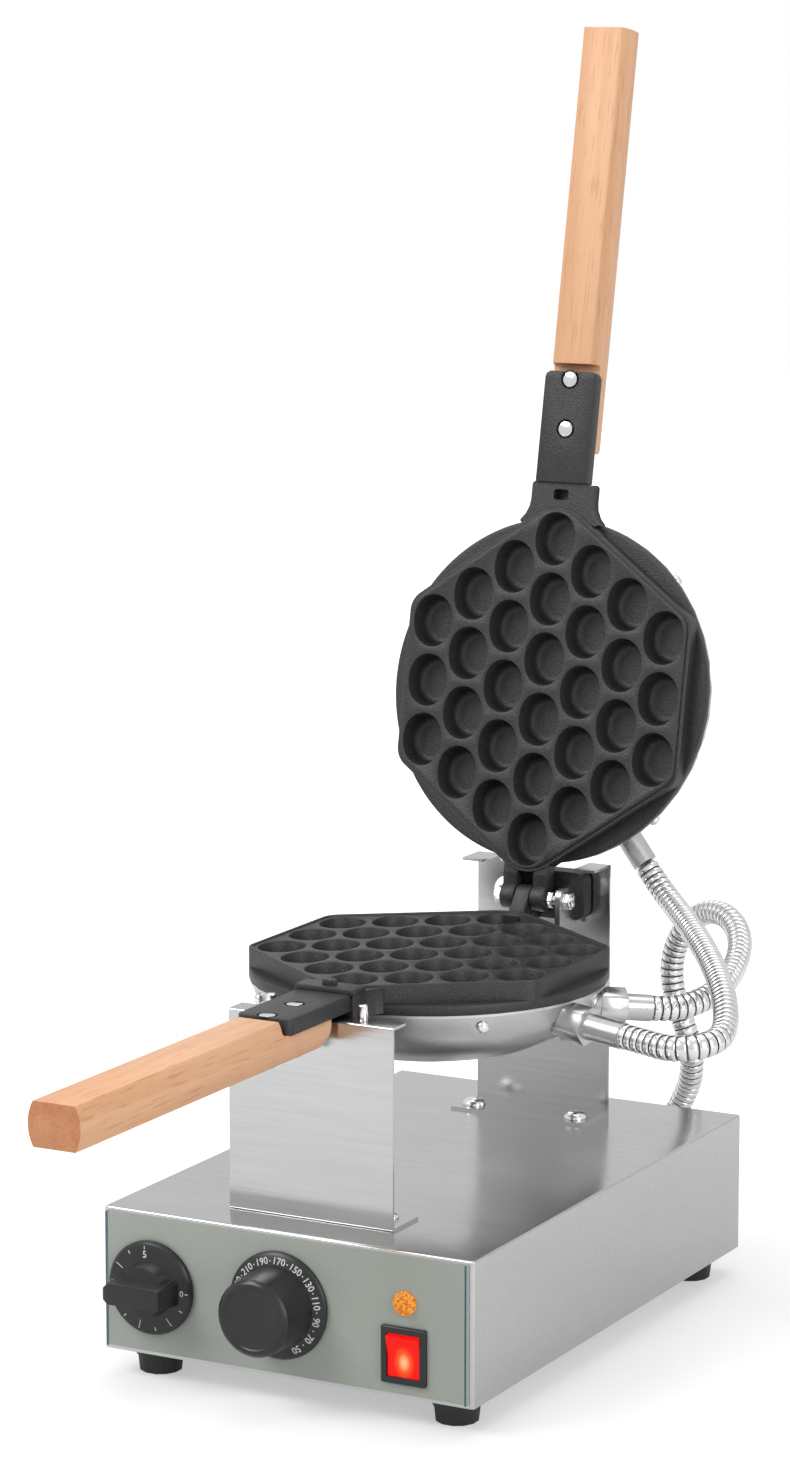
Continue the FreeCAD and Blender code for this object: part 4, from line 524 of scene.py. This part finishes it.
# Panel print
# Two thin blue lines printed down the ends of the film.
print_blue = grained(
    "print_blue", (0.02, 0.10, 0.16), 0.4, 0.0, 900.0, (0.015, 0.085, 0.14), (0.03, 0.13, 0.19)
)
line_front = -0.08752
line_depth = 0.00004
line_half_width = 0.0005
line_foot = 0.0162
line_top = 0.0906
for name, line_x in (("panel_line_left", -0.1090), ("panel_line_right", 0.1060)):
    line = bmesh.new()
    left, right = line_x - line_half_width, line_x + line_half_width
    corners = [(left, line_foot), (right, line_foot), (right, line_top), (left, line_top)]
    back = [line.verts.new((x, line_front + line_depth, z)) for x, z in corners]
    front = [line.verts.new((x, line_front, z)) for x, z in corners]
    line.faces.new(front)
    for k in range(4):
        n = (k + 1) % 4
        line.faces.new((back[k], back[n], front[n], front[k]))
    bmesh.ops.recalc_face_normals(line, faces=line.faces)
    line_piece = mesh_piece(name, line, print_blue)
    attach(line_piece, "base")


# Dial print
# White numbers, strokes and dots on the two black knobs. The timer's long strokes stand at
# every second step from nought; the thermostat is numbered all round its skirt.
print_white = grained(
    "print_white", (0.78, 0.78, 0.76), 0.5, 0.0, 1500.0, (0.8, 0.8, 0.78), (0.62, 0.62, 0.6)
)
# The print is laid on the knobs by rays from in front of them, and stands just off their faces
ray_start = -0.3
print_lift = 0.00008


def printed_quad(shape, middle, turn, along_length, across_length):
    """A flat printed mark round a middle, turned by an angle; millimetres on the knob's face."""
    way = Vector((math.cos(turn), math.sin(turn)))
    side = Vector((-way.y, way.x))
    corners = []
    for a, b in ((-1, -1), (1, -1), (1, 1), (-1, 1)):
        point = Vector(middle) + way * (a * along_length / 2) + side * (b * across_length / 2)
        corners.append(shape.verts.new((point.x * 0.001, 0.0, point.y * 0.001)))
    shape.faces.new(corners)


def printed_text(shape, words, middle, turn, height):
    """Flat figures round a middle, turned by an angle; middle in millimetres, height in metres."""
    data = bpy.data.curves.new("figures", "FONT")
    data.body = words
    data.size = height
    data.align_x = "CENTER"
    data.align_y = "CENTER"
    data.resolution_u = 3
    data.offset = height * 0.012
    holder = bpy.data.objects.new("figures", data)
    flat = bpy.data.meshes.new_from_object(holder)
    place = Matrix.Translation((middle[0] * 0.001, 0.0, middle[1] * 0.001))
    flat.transform(place @ Matrix.Rotation(-turn, 4, "Y") @ Matrix.Rotation(math.pi / 2, 4, "X"))
    shape.from_mesh(flat)
    bpy.data.objects.remove(holder)
    bpy.data.meshes.remove(flat)
    bpy.data.curves.remove(data)


def dial_print(name, shape, middle, knob, body):
    """Lays a knob's print on its sloping face, seen from the front, on the knob's body."""
    bmesh.ops.triangulate(shape, faces=shape.faces)
    face = BVHTree.FromObject(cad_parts[knob], bpy.context.evaluated_depsgraph_get())
    for vert in shape.verts:
        vert.co.x += middle[0]
        vert.co.z += middle[1]
        hit = face.ray_cast(Vector((vert.co.x, ray_start, vert.co.z)), Vector((0, 1, 0)))[0]
        vert.co.y = hit.y - print_lift
    for part in shape.faces:
        part.normal_update()
        if part.normal.y > 0:
            part.normal_flip()
    piece = mesh_piece(name, shape, print_white)
    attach(piece, body)


def on_ring(radius, turn):
    """The place at a radius and an angle, counted from the right and upwards."""
    return (radius * math.cos(turn), radius * math.sin(turn))


timer_middle = (-0.0803, 0.0528)
timer_step = math.radians(26.4)
timer_marks = 11
timer_print = bmesh.new()
# Nought reads upright at the right; five, the last mark, has its foot to the middle
for step in range(timer_marks):
    turn = -timer_step * step
    if step == 0:
        printed_text(timer_print, "0", on_ring(20.4, turn), 0.0, 0.0046)
        printed_quad(timer_print, on_ring(23.1, turn), turn, 1.8, 0.5)
    elif step == timer_marks - 1:
        printed_text(timer_print, "5", on_ring(18.6, turn), turn - math.pi / 2, 0.0052)
        printed_quad(timer_print, on_ring(22.4, turn), turn, 1.9, 0.45)
    elif step % 2:
        printed_quad(timer_print, on_ring(21.9, turn), turn, 2.0, 0.55)
    else:
        printed_quad(timer_print, on_ring(20.6, turn), turn, 5.0, 0.45)
dial_print("timer_print", timer_print, timer_middle, "timer_knob", "timer")

thermostat_middle = (-0.0029, 0.0544)
thermostat_first = -60
thermostat_step = 24.2
half_step = math.radians(thermostat_step) / 2
thermostat_print = bmesh.new()
for step, degrees in enumerate(range(50, 250, 20)):
    turn = math.radians(thermostat_first + thermostat_step * step)
    printed_text(thermostat_print, str(degrees), on_ring(24.5, turn), turn - math.pi / 2, 0.0052)
    printed_quad(thermostat_print, on_ring(24.6, turn + half_step), turn, 0.7, 0.7)
printed_quad(thermostat_print, (-19.6, 1.5), math.radians(-8), 2.6, 0.8)
dial_print("thermostat_print", thermostat_print, thermostat_middle, "thermostat_knob", "thermostat")


# Lamp and switch
# An amber faceted lens with a lamp behind it, and a red rocker that glows in the middle.
lens_amber, lens_nodes, lens_links, lens_shader = new_material("lens_amber", (0.9, 0.32, 0.02), 0.15)
lens_place = lens_nodes.new("ShaderNodeTexCoord")
lens_facets = lens_nodes.new("ShaderNodeTexVoronoi")
lens_facets.inputs["Scale"].default_value = 700.0
lens_depth = lens_facets.outputs["Distance"]
lens_ramp = ramp_node(lens_nodes, (0.1, (1.0, 0.50, 0.07)), (0.75, (0.55, 0.11, 0.0)))
lens_links.new(lens_place.outputs["Object"], lens_facets.inputs["Vector"])
lens_links.new(lens_depth, lens_ramp.inputs["Fac"])
tinted(lens_nodes, lens_links, lens_shader, lens_depth, (0.42, 0.12, 0.003), (0.2, 0.04, 0.0))
lens_links.new(lens_ramp.outputs["Color"], lens_shader.inputs["Emission Color"])
lens_shader.inputs["Emission Strength"].default_value = 0.75
lens_shader.inputs["Specular IOR Level"].default_value = 0.35
bumped(lens_nodes, lens_links, lens_shader, lens_depth, 0.0006)
finish_node("lamp_lens", lens_amber)

rocker_red, rocker_nodes, rocker_links, rocker_shader = new_material("rocker_red", (0.20, 0.001, 0.001), 0.45)
glow_middle = (0.0712, -0.090, 0.0345)
glow_reach = 0.0105
rocker_place = rocker_nodes.new("ShaderNodeTexCoord")
rocker_from = rocker_nodes.new("ShaderNodeVectorMath")
rocker_from.operation = "SUBTRACT"
rocker_from.inputs[1].default_value = glow_middle
rocker_shape = rocker_nodes.new("ShaderNodeVectorMath")
rocker_shape.operation = "MULTIPLY"
rocker_shape.inputs[1].default_value = (1.25, 0.0, 0.85)
rocker_reach = rocker_nodes.new("ShaderNodeVectorMath")
rocker_reach.operation = "LENGTH"
rocker_far = rocker_nodes.new("ShaderNodeMapRange")
rocker_far.inputs["From Max"].default_value = glow_reach
rocker_ramp = ramp_node(rocker_nodes, (0.1, (1.0, 0.62, 0.3)), (0.75, (0.95, 0.008, 0.003)))
rocker_middle = rocker_ramp.color_ramp.elements.new(0.42)
rocker_middle.color = (1.0, 0.12, 0.02, 1.0)
rocker_links.new(rocker_place.outputs["Object"], rocker_from.inputs[0])
rocker_links.new(rocker_from.outputs["Vector"], rocker_shape.inputs[0])
rocker_links.new(rocker_shape.outputs["Vector"], rocker_reach.inputs[0])
rocker_links.new(rocker_reach.outputs["Value"], rocker_far.inputs["Value"])
rocker_links.new(rocker_far.outputs["Result"], rocker_ramp.inputs["Fac"])
rocker_grain = noisy_value(rocker_nodes, rocker_links, 800.0, 0.0, 1.0)
tinted(rocker_nodes, rocker_links, rocker_shader, rocker_grain, (0.22, 0.001, 0.001), (0.16, 0.001, 0.001))
rocker_shader.inputs["Specular IOR Level"].default_value = 0.2
rocker_links.new(rocker_ramp.outputs["Color"], rocker_shader.inputs["Emission Color"])
rocker_shader.inputs["Emission Strength"].default_value = 0.85
finish_node("rocker_button", rocker_red)


# Cast pans
# Two halves of one casting, black non-stick on aluminium: a six-sided plate with thirty oval
# cups, a round flange under it, a tang for the handle and lugs for the hinge. The lower one
# lies face up; the lid is its mirror image, swung open about the hinge bolt.
pan_coat = grained(
    "pan_coat", (0.03, 0.03, 0.03), 0.43, 0.0, 1100.0,
    (0.011, 0.011, 0.012), (0.036, 0.036, 0.037), 0.00022, 0.55, 3.0,
)
for node in ("swivel_block", "tail_screws"):
    finish_node(node, pan_coat)

mm = 0.001
face_height = 0.2134
half_gap = 0.0002
pan_middle = Vector((0.0, 0.0729, face_height - half_gap))
hinge_line = Vector((0.0, 0.191151, 0.2199))
lid_angle = math.radians(101.3)
lid_turn = (
    Matrix.Translation(hinge_line)
    @ Matrix.Rotation(-lid_angle, 4, "X")
    @ Matrix.Translation(-hinge_line)
)
lid_mirror = Matrix.Translation((0, 0, 2 * face_height)) @ Matrix.Diagonal((1, 1, -1, 1))
lid_place = lid_turn @ lid_mirror
cup_columns = (3, 4, 5, 6, 5, 4, 3)
cup_column_pitch = 24.31
cup_pitch = 34.3
cup_sides = 44
cup_half_width = 12.4
cup_half_length = 15.1
cup_depth = 13.4


def rounded_outline(corners, radii, steps=10):
    """A closed outline whose corners are rounded; all in millimetres."""
    outline = []
    count = len(corners)
    for i, radius in enumerate(radii):
        here = Vector(corners[i])
        back_way = (Vector(corners[i - 1]) - here).normalized()
        on_way = (Vector(corners[(i + 1) % count]) - here).normalized()
        half = back_way.angle(on_way) / 2
        centre = here + (back_way + on_way).normalized() * (radius / math.sin(half))
        first = here + back_way * (radius / math.tan(half)) - centre
        last = here + on_way * (radius / math.tan(half)) - centre
        sweep = first.angle_signed(last)
        for k in range(steps + 1):
            turned = first.copy()
            turned.rotate(Matrix.Rotation(-sweep * k / steps, 2))
            outline.append(centre + turned)
    return outline


def inset_outline(outline, inset):
    """The same outline drawn in by a distance, point by point."""
    count = len(outline)
    drawn = []
    for i in range(count):
        run = (outline[(i + 1) % count] - outline[i - 1]).normalized()
        drawn.append(outline[i] + Vector((-run.y, run.x)) * inset)
    return drawn


def ring_of(shape, points, height):
    """A loop of vertices at one height; points and height are in millimetres."""
    return [shape.verts.new((p[0] * mm, p[1] * mm, height * mm)) for p in points]


def skin(shape, upper, lower):
    """Quads between two loops of the same count."""
    count = len(upper)
    for k in range(count):
        n = (k + 1) % count
        shape.faces.new((upper[k], upper[n], lower[n], lower[k]))


def closed_loop(shape, loop):
    """The edges of a loop."""
    edges = []
    for k in range(len(loop)):
        pair = (loop[k], loop[(k + 1) % len(loop)])
        edges.append(shape.edges.get(pair) or shape.edges.new(pair))
    return edges


def web_between(shape, loops):
    """A flat face that fills the space between an outline and the loops inside it."""
    edges = [edge for loop in loops for edge in closed_loop(shape, loop)]
    bmesh.ops.triangle_fill(shape, use_beauty=True, use_dissolve=False, edges=edges)


def circle_points(middle, radius, sides):
    """A round outline about a middle."""
    turns = [2 * math.pi * k / sides for k in range(sides)]
    return [(middle[0] + radius * math.cos(t), middle[1] + radius * math.sin(t)) for t in turns]


def cup_middles():
    """The cups' places: columns from left to right, each set in the middle of the plate."""
    middles = []
    for column, count in enumerate(cup_columns):
        across = (column - len(cup_columns) // 2) * cup_column_pitch
        for k in range(count):
            middles.append((across, (k - (count - 1) / 2) * cup_pitch))
    return middles


def cup_oval(middle, half_width, half_length):
    """An oval with slightly straight long sides, as the cups' mouths are."""
    straightness = 1.2
    points = []
    for k in range(cup_sides):
        turn = 2 * math.pi * k / cup_sides
        straight = math.tanh(straightness * math.sin(turn)) / math.tanh(straightness)
        across = half_width * math.cos(turn)
        lengthways = half_width * math.sin(turn) + (half_length - half_width) * straight
        points.append((middle[0] + across, middle[1] + lengthways))
    return points


def cup(shape, middle):
    """One cup: a crisp soft lip, a steep wall, a rounded foot and a flat floor."""
    # Depth and how far the wall stands back there, in millimetres
    profile = [
        (0.0, -0.35), (0.1, -0.12), (0.4, 0.05), (8.5, 1.0), (10.8, 1.7),
        (12.1, 2.6), (12.9, 3.7), (13.3, 4.9), (cup_depth, 6.2),
    ]
    rings = []
    for depth, inset in profile:
        oval = cup_oval(middle, cup_half_width - inset, cup_half_length - inset)
        rings.append(ring_of(shape, oval, -depth))
    for upper, lower in zip(rings, rings[1:]):
        skin(shape, upper, lower)
    floor_middle = shape.verts.new((middle[0] * mm, middle[1] * mm, -cup_depth * mm))
    last = rings[-1]
    for k in range(cup_sides):
        shape.faces.new((last[k], last[(k + 1) % cup_sides], floor_middle))
    return rings[0]


plate_corners = [(89, 46), (0, 109.6), (-89, 46), (-89, -46), (0, -109.6), (89, -46)]
plate_radii = (13, 24, 13, 13, 24, 13)
plate_margin = 4.0
# The plate's edge as insets and heights: the rim on top, which differs, and the skirt below it
raised_rim = [(2.4, 0.0), (1.9, 0.15), (1.7, 0.75), (1.3, 1.0), (0.6, 1.0), (0.15, 0.75), (0.0, 0.2)]
sunk_rim = [(2.5, 0.0), (2.2, -0.2), (2.1, -1.15), (0.35, -1.2), (0.0, -1.6)]
skirt = [(0.0, -11.8), (0.4, -12.2), (5.0, -12.2)]


def pan_plate(shape, rim):
    """The six-sided plate with its cups, its rim and its skirt."""
    outline = rounded_outline(plate_corners, plate_radii, 14)
    rings = [ring_of(shape, inset_outline(outline, inset), height) for inset, height in rim + skirt]
    for upper, lower in zip(rings, rings[1:]):
        skin(shape, upper, lower)
    mouths = [cup(shape, middle) for middle in cup_middles()]
    web_between(shape, [rings[0]] + mouths)


def inside_plate(point):
    """Whether a point lies well inside the six-sided plate."""
    for first, second in zip(plate_corners, plate_corners[1:] + plate_corners[:1]):
        run = (Vector(second) - Vector(first)).normalized()
        if (Vector(point) - Vector(first)).cross(run) > -plate_margin:
            return False
    return True


def round_flange(shape):
    """The round flange that the dome is fixed to, open where the plate and its cups come through."""
    bore, shoulder, top, steps, sides = 72, 97.3, -9.4, 20, 180
    # Radius and height: outwards over the top in small steps, round the edge and back below
    levels = [(bore + (shoulder - bore) * k / steps, top) for k in range(steps + 1)]
    levels += [(98.2, -9.7), (98.5, -10.6), (98.5, -13.8), (98.0, -14.7), (bore, -14.7), (bore, -14.2)]
    rings = [ring_of(shape, circle_points((0, 0), radius, sides), height) for radius, height in levels]
    for upper, lower in zip(rings, rings[1:]):
        skin(shape, upper, lower)
    hidden = [
        face for face in shape.faces
        if all(inside_plate((v.co.x / mm, v.co.y / mm)) for v in face.verts)
    ]
    bmesh.ops.delete(shape, geom=hidden, context="FACES")


def soft_levels(top, bottom, edge):
    """How far an outline is drawn in, and where, from one face to the other with soft edges."""
    return [
        (edge, top),
        (edge * 0.3, top - edge * 0.3),
        (0.0, top - edge),
        (0.0, bottom + edge),
        (edge * 0.3, bottom + edge * 0.3),
        (edge, bottom),
    ]


screw_radius = 2.9
hole_sides = 32


def slab(shape, outline, top, bottom, edge, holes=()):
    """A flat cast bar with soft edges and stepped holes; lengths in millimetres."""
    levels = soft_levels(top, bottom, edge)
    rings = [ring_of(shape, inset_outline(outline, inset), height) for inset, height in levels]
    for upper, lower in zip(rings, rings[1:]):
        skin(shape, upper, lower)
    tops = [rings[0]]
    bottoms = [rings[-1]]
    for middle, mouth, bore, sink in holes:
        upper = ring_of(shape, circle_points(middle, mouth, hole_sides), top)
        neck = ring_of(shape, circle_points(middle, bore, hole_sides), top - sink)
        step = ring_of(shape, circle_points(middle, screw_radius, hole_sides), top - sink)
        lower = ring_of(shape, circle_points(middle, screw_radius, hole_sides), bottom)
        skin(shape, upper, neck)
        skin(shape, neck, step)
        skin(shape, step, lower)
        tops.append(upper)
        bottoms.append(lower)
    web_between(shape, tops)
    web_between(shape, bottoms)


def pan_piece(name, build, place, material, body):
    """A piece of a pan from its builder, smooth but for its sharp edges, on its body."""
    shape = bmesh.new()
    build(shape)
    bmesh.ops.remove_doubles(shape, verts=shape.verts, dist=merge_distance)
    bmesh.ops.recalc_face_normals(shape, faces=shape.faces)
    piece = mesh_piece(name, shape, material)
    piece.data.transform(place)
    if place.determinant() < 0:
        piece.data.flip_normals()
    piece.data.shade_smooth()
    piece.data.set_sharp_from_angle(angle=math.radians(38))
    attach(piece, body)
    return piece


handle_screw_places = (-148.55, -176.85)
tang_holes = [((0.0, y), 5.6, 5.0, 2.9) for y in handle_screw_places]
tang_half_width = 16
tang_end = -181.45
tang_radii = (0.6, 4.0, 4.0, 0.6)
tang_top = -0.2
tang_bottom = -9.2
block_half_width = 17.75
block_end = -117.45
block_bottom = -14.0
block_half = [
    (block_half_width, block_end), (17.8, -108), (18.3, -104), (20.5, -99), (25, -94),
    (14, -99), (6, -103.2),
]
block_corners = [(-x, y) for x, y in block_half] + block_half[::-1]
block_radii = (1.2, 3, 3, 3, 0.5, 1, 1, 1, 1, 0.5, 3, 3, 3, 1.2)


def bar_outline(half_width, rear, front, radii, steps):
    """The rounded outline of a bar that lies on the pan's middle line."""
    corners = [(-half_width, rear), (-half_width, front), (half_width, front), (half_width, rear)]
    return rounded_outline(corners, radii, steps)


def lower_bars(shape):
    """The tang, the raised block and its lug, all with cast soft edges."""
    tang = bar_outline(tang_half_width, -112, tang_end, tang_radii, 6)
    slab(shape, tang, tang_top, tang_bottom, 0.7, tang_holes)
    slab(shape, rounded_outline(block_corners, block_radii, 4), tang_top, block_bottom, 0.8)
    slab(shape, bar_outline(block_half_width, -104.0, block_end, (0.8,) * 4, 4), 2.4, -3.0, 0.8)
    slab(shape, bar_outline(4.0, -108.95, -113.55, (1.8,) * 4, 6), 5.4, 1.0, 0.6)


def upper_bars(shape):
    """The lid's tang and sunk block, with the slot that the lug enters."""
    tang = bar_outline(tang_half_width, -118, tang_end, tang_radii, 6)
    slab(shape, tang, tang_top, tang_bottom, 0.7, tang_holes)
    block = rounded_outline(block_corners, block_radii, 4)
    top, slot_bottom = -2.5, -9.5
    levels = [(0.8, top), (0.25, -2.75), (0.0, -3.3), (0.0, -13.2), (0.25, -13.75), (0.8, block_bottom)]
    rings = [ring_of(shape, inset_outline(block, inset), height) for inset, height in levels]
    for upper, lower in zip(rings, rings[1:]):
        skin(shape, upper, lower)
    slot = bar_outline(4.7, -108.25, -114.25, (1.6,) * 4, 5)
    mouth = ring_of(shape, slot, top)
    bottom = ring_of(shape, slot, slot_bottom)
    skin(shape, mouth, bottom)
    shape.faces.new(bottom)
    web_between(shape, [rings[0], mouth])
    web_between(shape, [rings[-1]])


hinge_hub = Vector((118.25, 6.7))
lug_edge = 0.9
lug_steps = 32


def hinge_lug(shape, radius, x_low, x_high, roots, low_turn, high_turn):
    """A lug round the hinge bolt, joined by its root to its own plate; its side faces are flat."""
    outline = [Vector(root) for root in roots]
    for k in range(lug_steps + 1):
        turn = math.radians(low_turn + (high_turn - low_turn) * k / lug_steps)
        outline.append(hinge_hub + Vector((math.cos(turn), math.sin(turn))) * radius)
    loops = []
    for inset, x in soft_levels(x_high, x_low, lug_edge)[::-1]:
        drawn = inset_outline(outline, inset)
        loops.append([shape.verts.new((x * mm, p.x * mm, p.y * mm)) for p in drawn])
    for one, two in zip(loops, loops[1:]):
        skin(shape, one, two)
    shape.faces.new(loops[0])
    shape.faces.new(loops[-1])


def lower_lugs(shape):
    """The single knuckle and the tail that is bolted to the swivel block."""
    knuckle = 4.7
    tail_top, tail_bottom = 10.7, -6.2
    roots = [(105.2, 0.6), (105.2, -0.9), (98, -0.9), (98, -11.8)]
    hinge_lug(shape, 7.0, -knuckle, knuckle, roots, -118, 158)
    slab(shape, bar_outline(15, 129.4, 125.9, (0.5,) * 4, 3), tail_top, tail_bottom, 0.6)
    slab(shape, bar_outline(knuckle, 127.0, 118.0, (0.4,) * 4, 3), tail_top, tail_bottom, 0.5)


def upper_lugs(shape):
    """The two ears of the lid."""
    roots = [(98, 11.8), (98, 2.3), (105.2, 2.3), (105.2, 1.6)]
    for x_low, x_high in ((-14.0, -5.0), (5.0, 14.0)):
        hinge_lug(shape, 7.5, x_low, x_high, roots, -150, 120)


at_lower = Matrix.Translation(pan_middle)
at_upper = lid_place @ Matrix.Translation(pan_middle)
# The ears are drawn as they stand when the lid is shut, so they are swung but not mirrored
at_upper_plain = lid_turn @ Matrix.Translation(pan_middle)
lower_plate = pan_piece(
    "lower_plate", lambda shape: pan_plate(shape, raised_rim), at_lower, pan_coat, "lower"
)
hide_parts("lower_pan")
upper_plate = pan_piece(
    "upper_plate", lambda shape: pan_plate(shape, sunk_rim), at_upper, pan_coat, "upper"
)
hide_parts("upper_pan")
for name, build, place, body in (
    ("lower_flange", round_flange, at_lower, "lower"),
    ("lower_bars", lower_bars, at_lower, "lower"),
    ("lower_lugs", lower_lugs, at_lower, "lower"),
    ("upper_flange", round_flange, at_upper, "upper"),
    ("upper_bars", upper_bars, at_upper, "upper"),
):
    pan_piece(name, build, place, pan_coat, body)
lid_ears = pan_piece("lid_ear_pair", upper_lugs, at_upper_plain, pan_coat, "upper")
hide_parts("lid_ears")


# Domes
# Spun stainless bowls, satin outside, held to the pans by small screws. Each covers a bent
# heating element with a dark oxidised sheath.
dome_steel = brushed_steel("dome_steel", (0.58, 0.58, 0.575), 0.3, (1.0, 1.0, 6.0))
for node in ("lower_dome", "upper_dome"):
    finish_node(node, dome_steel)
heater_sheath = grained(
    "heater_sheath", (0.13, 0.12, 0.11), 0.5, 1.0, 60.0, (0.1, 0.095, 0.09), (0.17, 0.15, 0.13)
)
for node in ("lower_element", "upper_element"):
    finish_node(node, heater_sheath)


# Bolts and hose fittings
# Bright screws, nuts and the hinge bolt; satin sleeves and unions at the ends of the hoses; the
# satin hinge tab and shaft that the pans turn on, and the bronze bush round the shaft.
for node in (
    "lower_dome_screws", "upper_dome_screws", "lower_handle_screws", "upper_handle_screws",
    "lower_handle_nuts", "upper_handle_nuts", "hinge_bolt", "hinge_nuts", "swivel_nut",
):
    finish_node(node, bright_chrome, 0.0003)
for node in ("lower_link_fitting", "upper_link_fitting", "supply_fitting"):
    finish_node(node, dome_steel, 0.0004)
for node in ("lower_link_sleeve", "upper_link_sleeve", "supply_sleeve", "hinge_tab", "swivel_shaft"):
    finish_node(node, dome_steel)

bush_bronze = grained(
    "bush_bronze", (0.42, 0.27, 0.12), 0.35, 1.0, 120.0, (0.45, 0.3, 0.14), (0.32, 0.2, 0.1)
)
finish_node("swivel_bush", bush_bronze)


# Handles
# Oiled beech, sawn flat above and below and rounded at the sides. The grain runs the long
# way, with short dark flecks, and the sawn ends are darker.
def darkened(nodes, links, colour, amount, tint):
    """A colour multiplied by a tint as far as an amount says."""
    blend = nodes.new("ShaderNodeMixRGB")
    blend.blend_type = "MULTIPLY"
    blend.inputs["Color2"].default_value = (*tint, 1.0)
    links.new(amount, blend.inputs["Fac"])
    links.new(colour, blend.inputs["Color1"])
    return blend.outputs["Color"]


def beech_wood(name, turn):
    """Beech whose grain runs along a handle that is turned about X by an angle."""
    material, nodes, links, shader = new_material(name, (0.80, 0.46, 0.25), 0.48)
    place = nodes.new("ShaderNodeTexCoord")
    level = nodes.new("ShaderNodeVectorRotate")
    level.rotation_type = "X_AXIS"
    level.inputs["Angle"].default_value = turn
    links.new(place.outputs["Object"], level.inputs["Vector"])
    # The broad tone, the fine grain and the dark flecks
    layers = []
    for scale, stretch, low, high in (
        (26.0, (1.0, 0.05, 0.6), 0.35, 0.65),
        (130.0, (1.0, 0.035, 0.8), 0.3, 0.7),
        (800.0, (1.0, 0.06, 1.0), 0.56, 0.66),
    ):
        drawn = nodes.new("ShaderNodeMapping")
        drawn.inputs["Scale"].default_value = stretch
        cloud = nodes.new("ShaderNodeTexNoise")
        cloud.inputs["Scale"].default_value = scale
        cloud.inputs["Detail"].default_value = 4.0
        spread = nodes.new("ShaderNodeMapRange")
        spread.inputs["From Min"].default_value = low
        spread.inputs["From Max"].default_value = high
        links.new(level.outputs["Vector"], drawn.inputs["Vector"])
        links.new(drawn.outputs["Vector"], cloud.inputs["Vector"])
        links.new(cloud.outputs["Fac"], spread.inputs["Value"])
        layers.append(spread.outputs["Result"])
    broad = tinted(nodes, links, shader, layers[0], (0.88, 0.54, 0.33), (0.80, 0.46, 0.265))
    fine = darkened(nodes, links, broad.outputs["Color"], layers[1], (0.86, 0.76, 0.66))
    fleck_share = sum_node(nodes, "MULTIPLY", 0.38)
    links.new(layers[2], fleck_share.inputs[0])
    flecks = darkened(nodes, links, fine, fleck_share.outputs["Value"], (0.62, 0.42, 0.3))
    facing = nodes.new("ShaderNodeNewGeometry")
    turned = nodes.new("ShaderNodeVectorRotate")
    turned.rotation_type = "X_AXIS"
    turned.inputs["Angle"].default_value = turn
    split = nodes.new("ShaderNodeSeparateXYZ")
    sawn = sum_node(nodes, "ABSOLUTE")
    ends = nodes.new("ShaderNodeMapRange")
    ends.inputs["From Min"].default_value = 0.6
    ends.inputs["From Max"].default_value = 0.9
    ends.inputs["To Max"].default_value = 0.85
    links.new(facing.outputs["Normal"], turned.inputs["Vector"])
    links.new(turned.outputs["Vector"], split.inputs["Vector"])
    links.new(split.outputs["Y"], sawn.inputs[0])
    links.new(sawn.outputs["Value"], ends.inputs["Value"])
    end_grain = darkened(nodes, links, flecks, ends.outputs["Result"], (0.72, 0.5, 0.36))
    links.new(end_grain, shader.inputs["Base Color"])
    bumped(nodes, links, shader, layers[1], 0.00006, 0.5)
    return material


finish_node("lower_handle", beech_wood("beech_lower", 0.0), 0.0006)
finish_node("upper_handle", beech_wood("beech_upper", lid_angle), 0.0006)
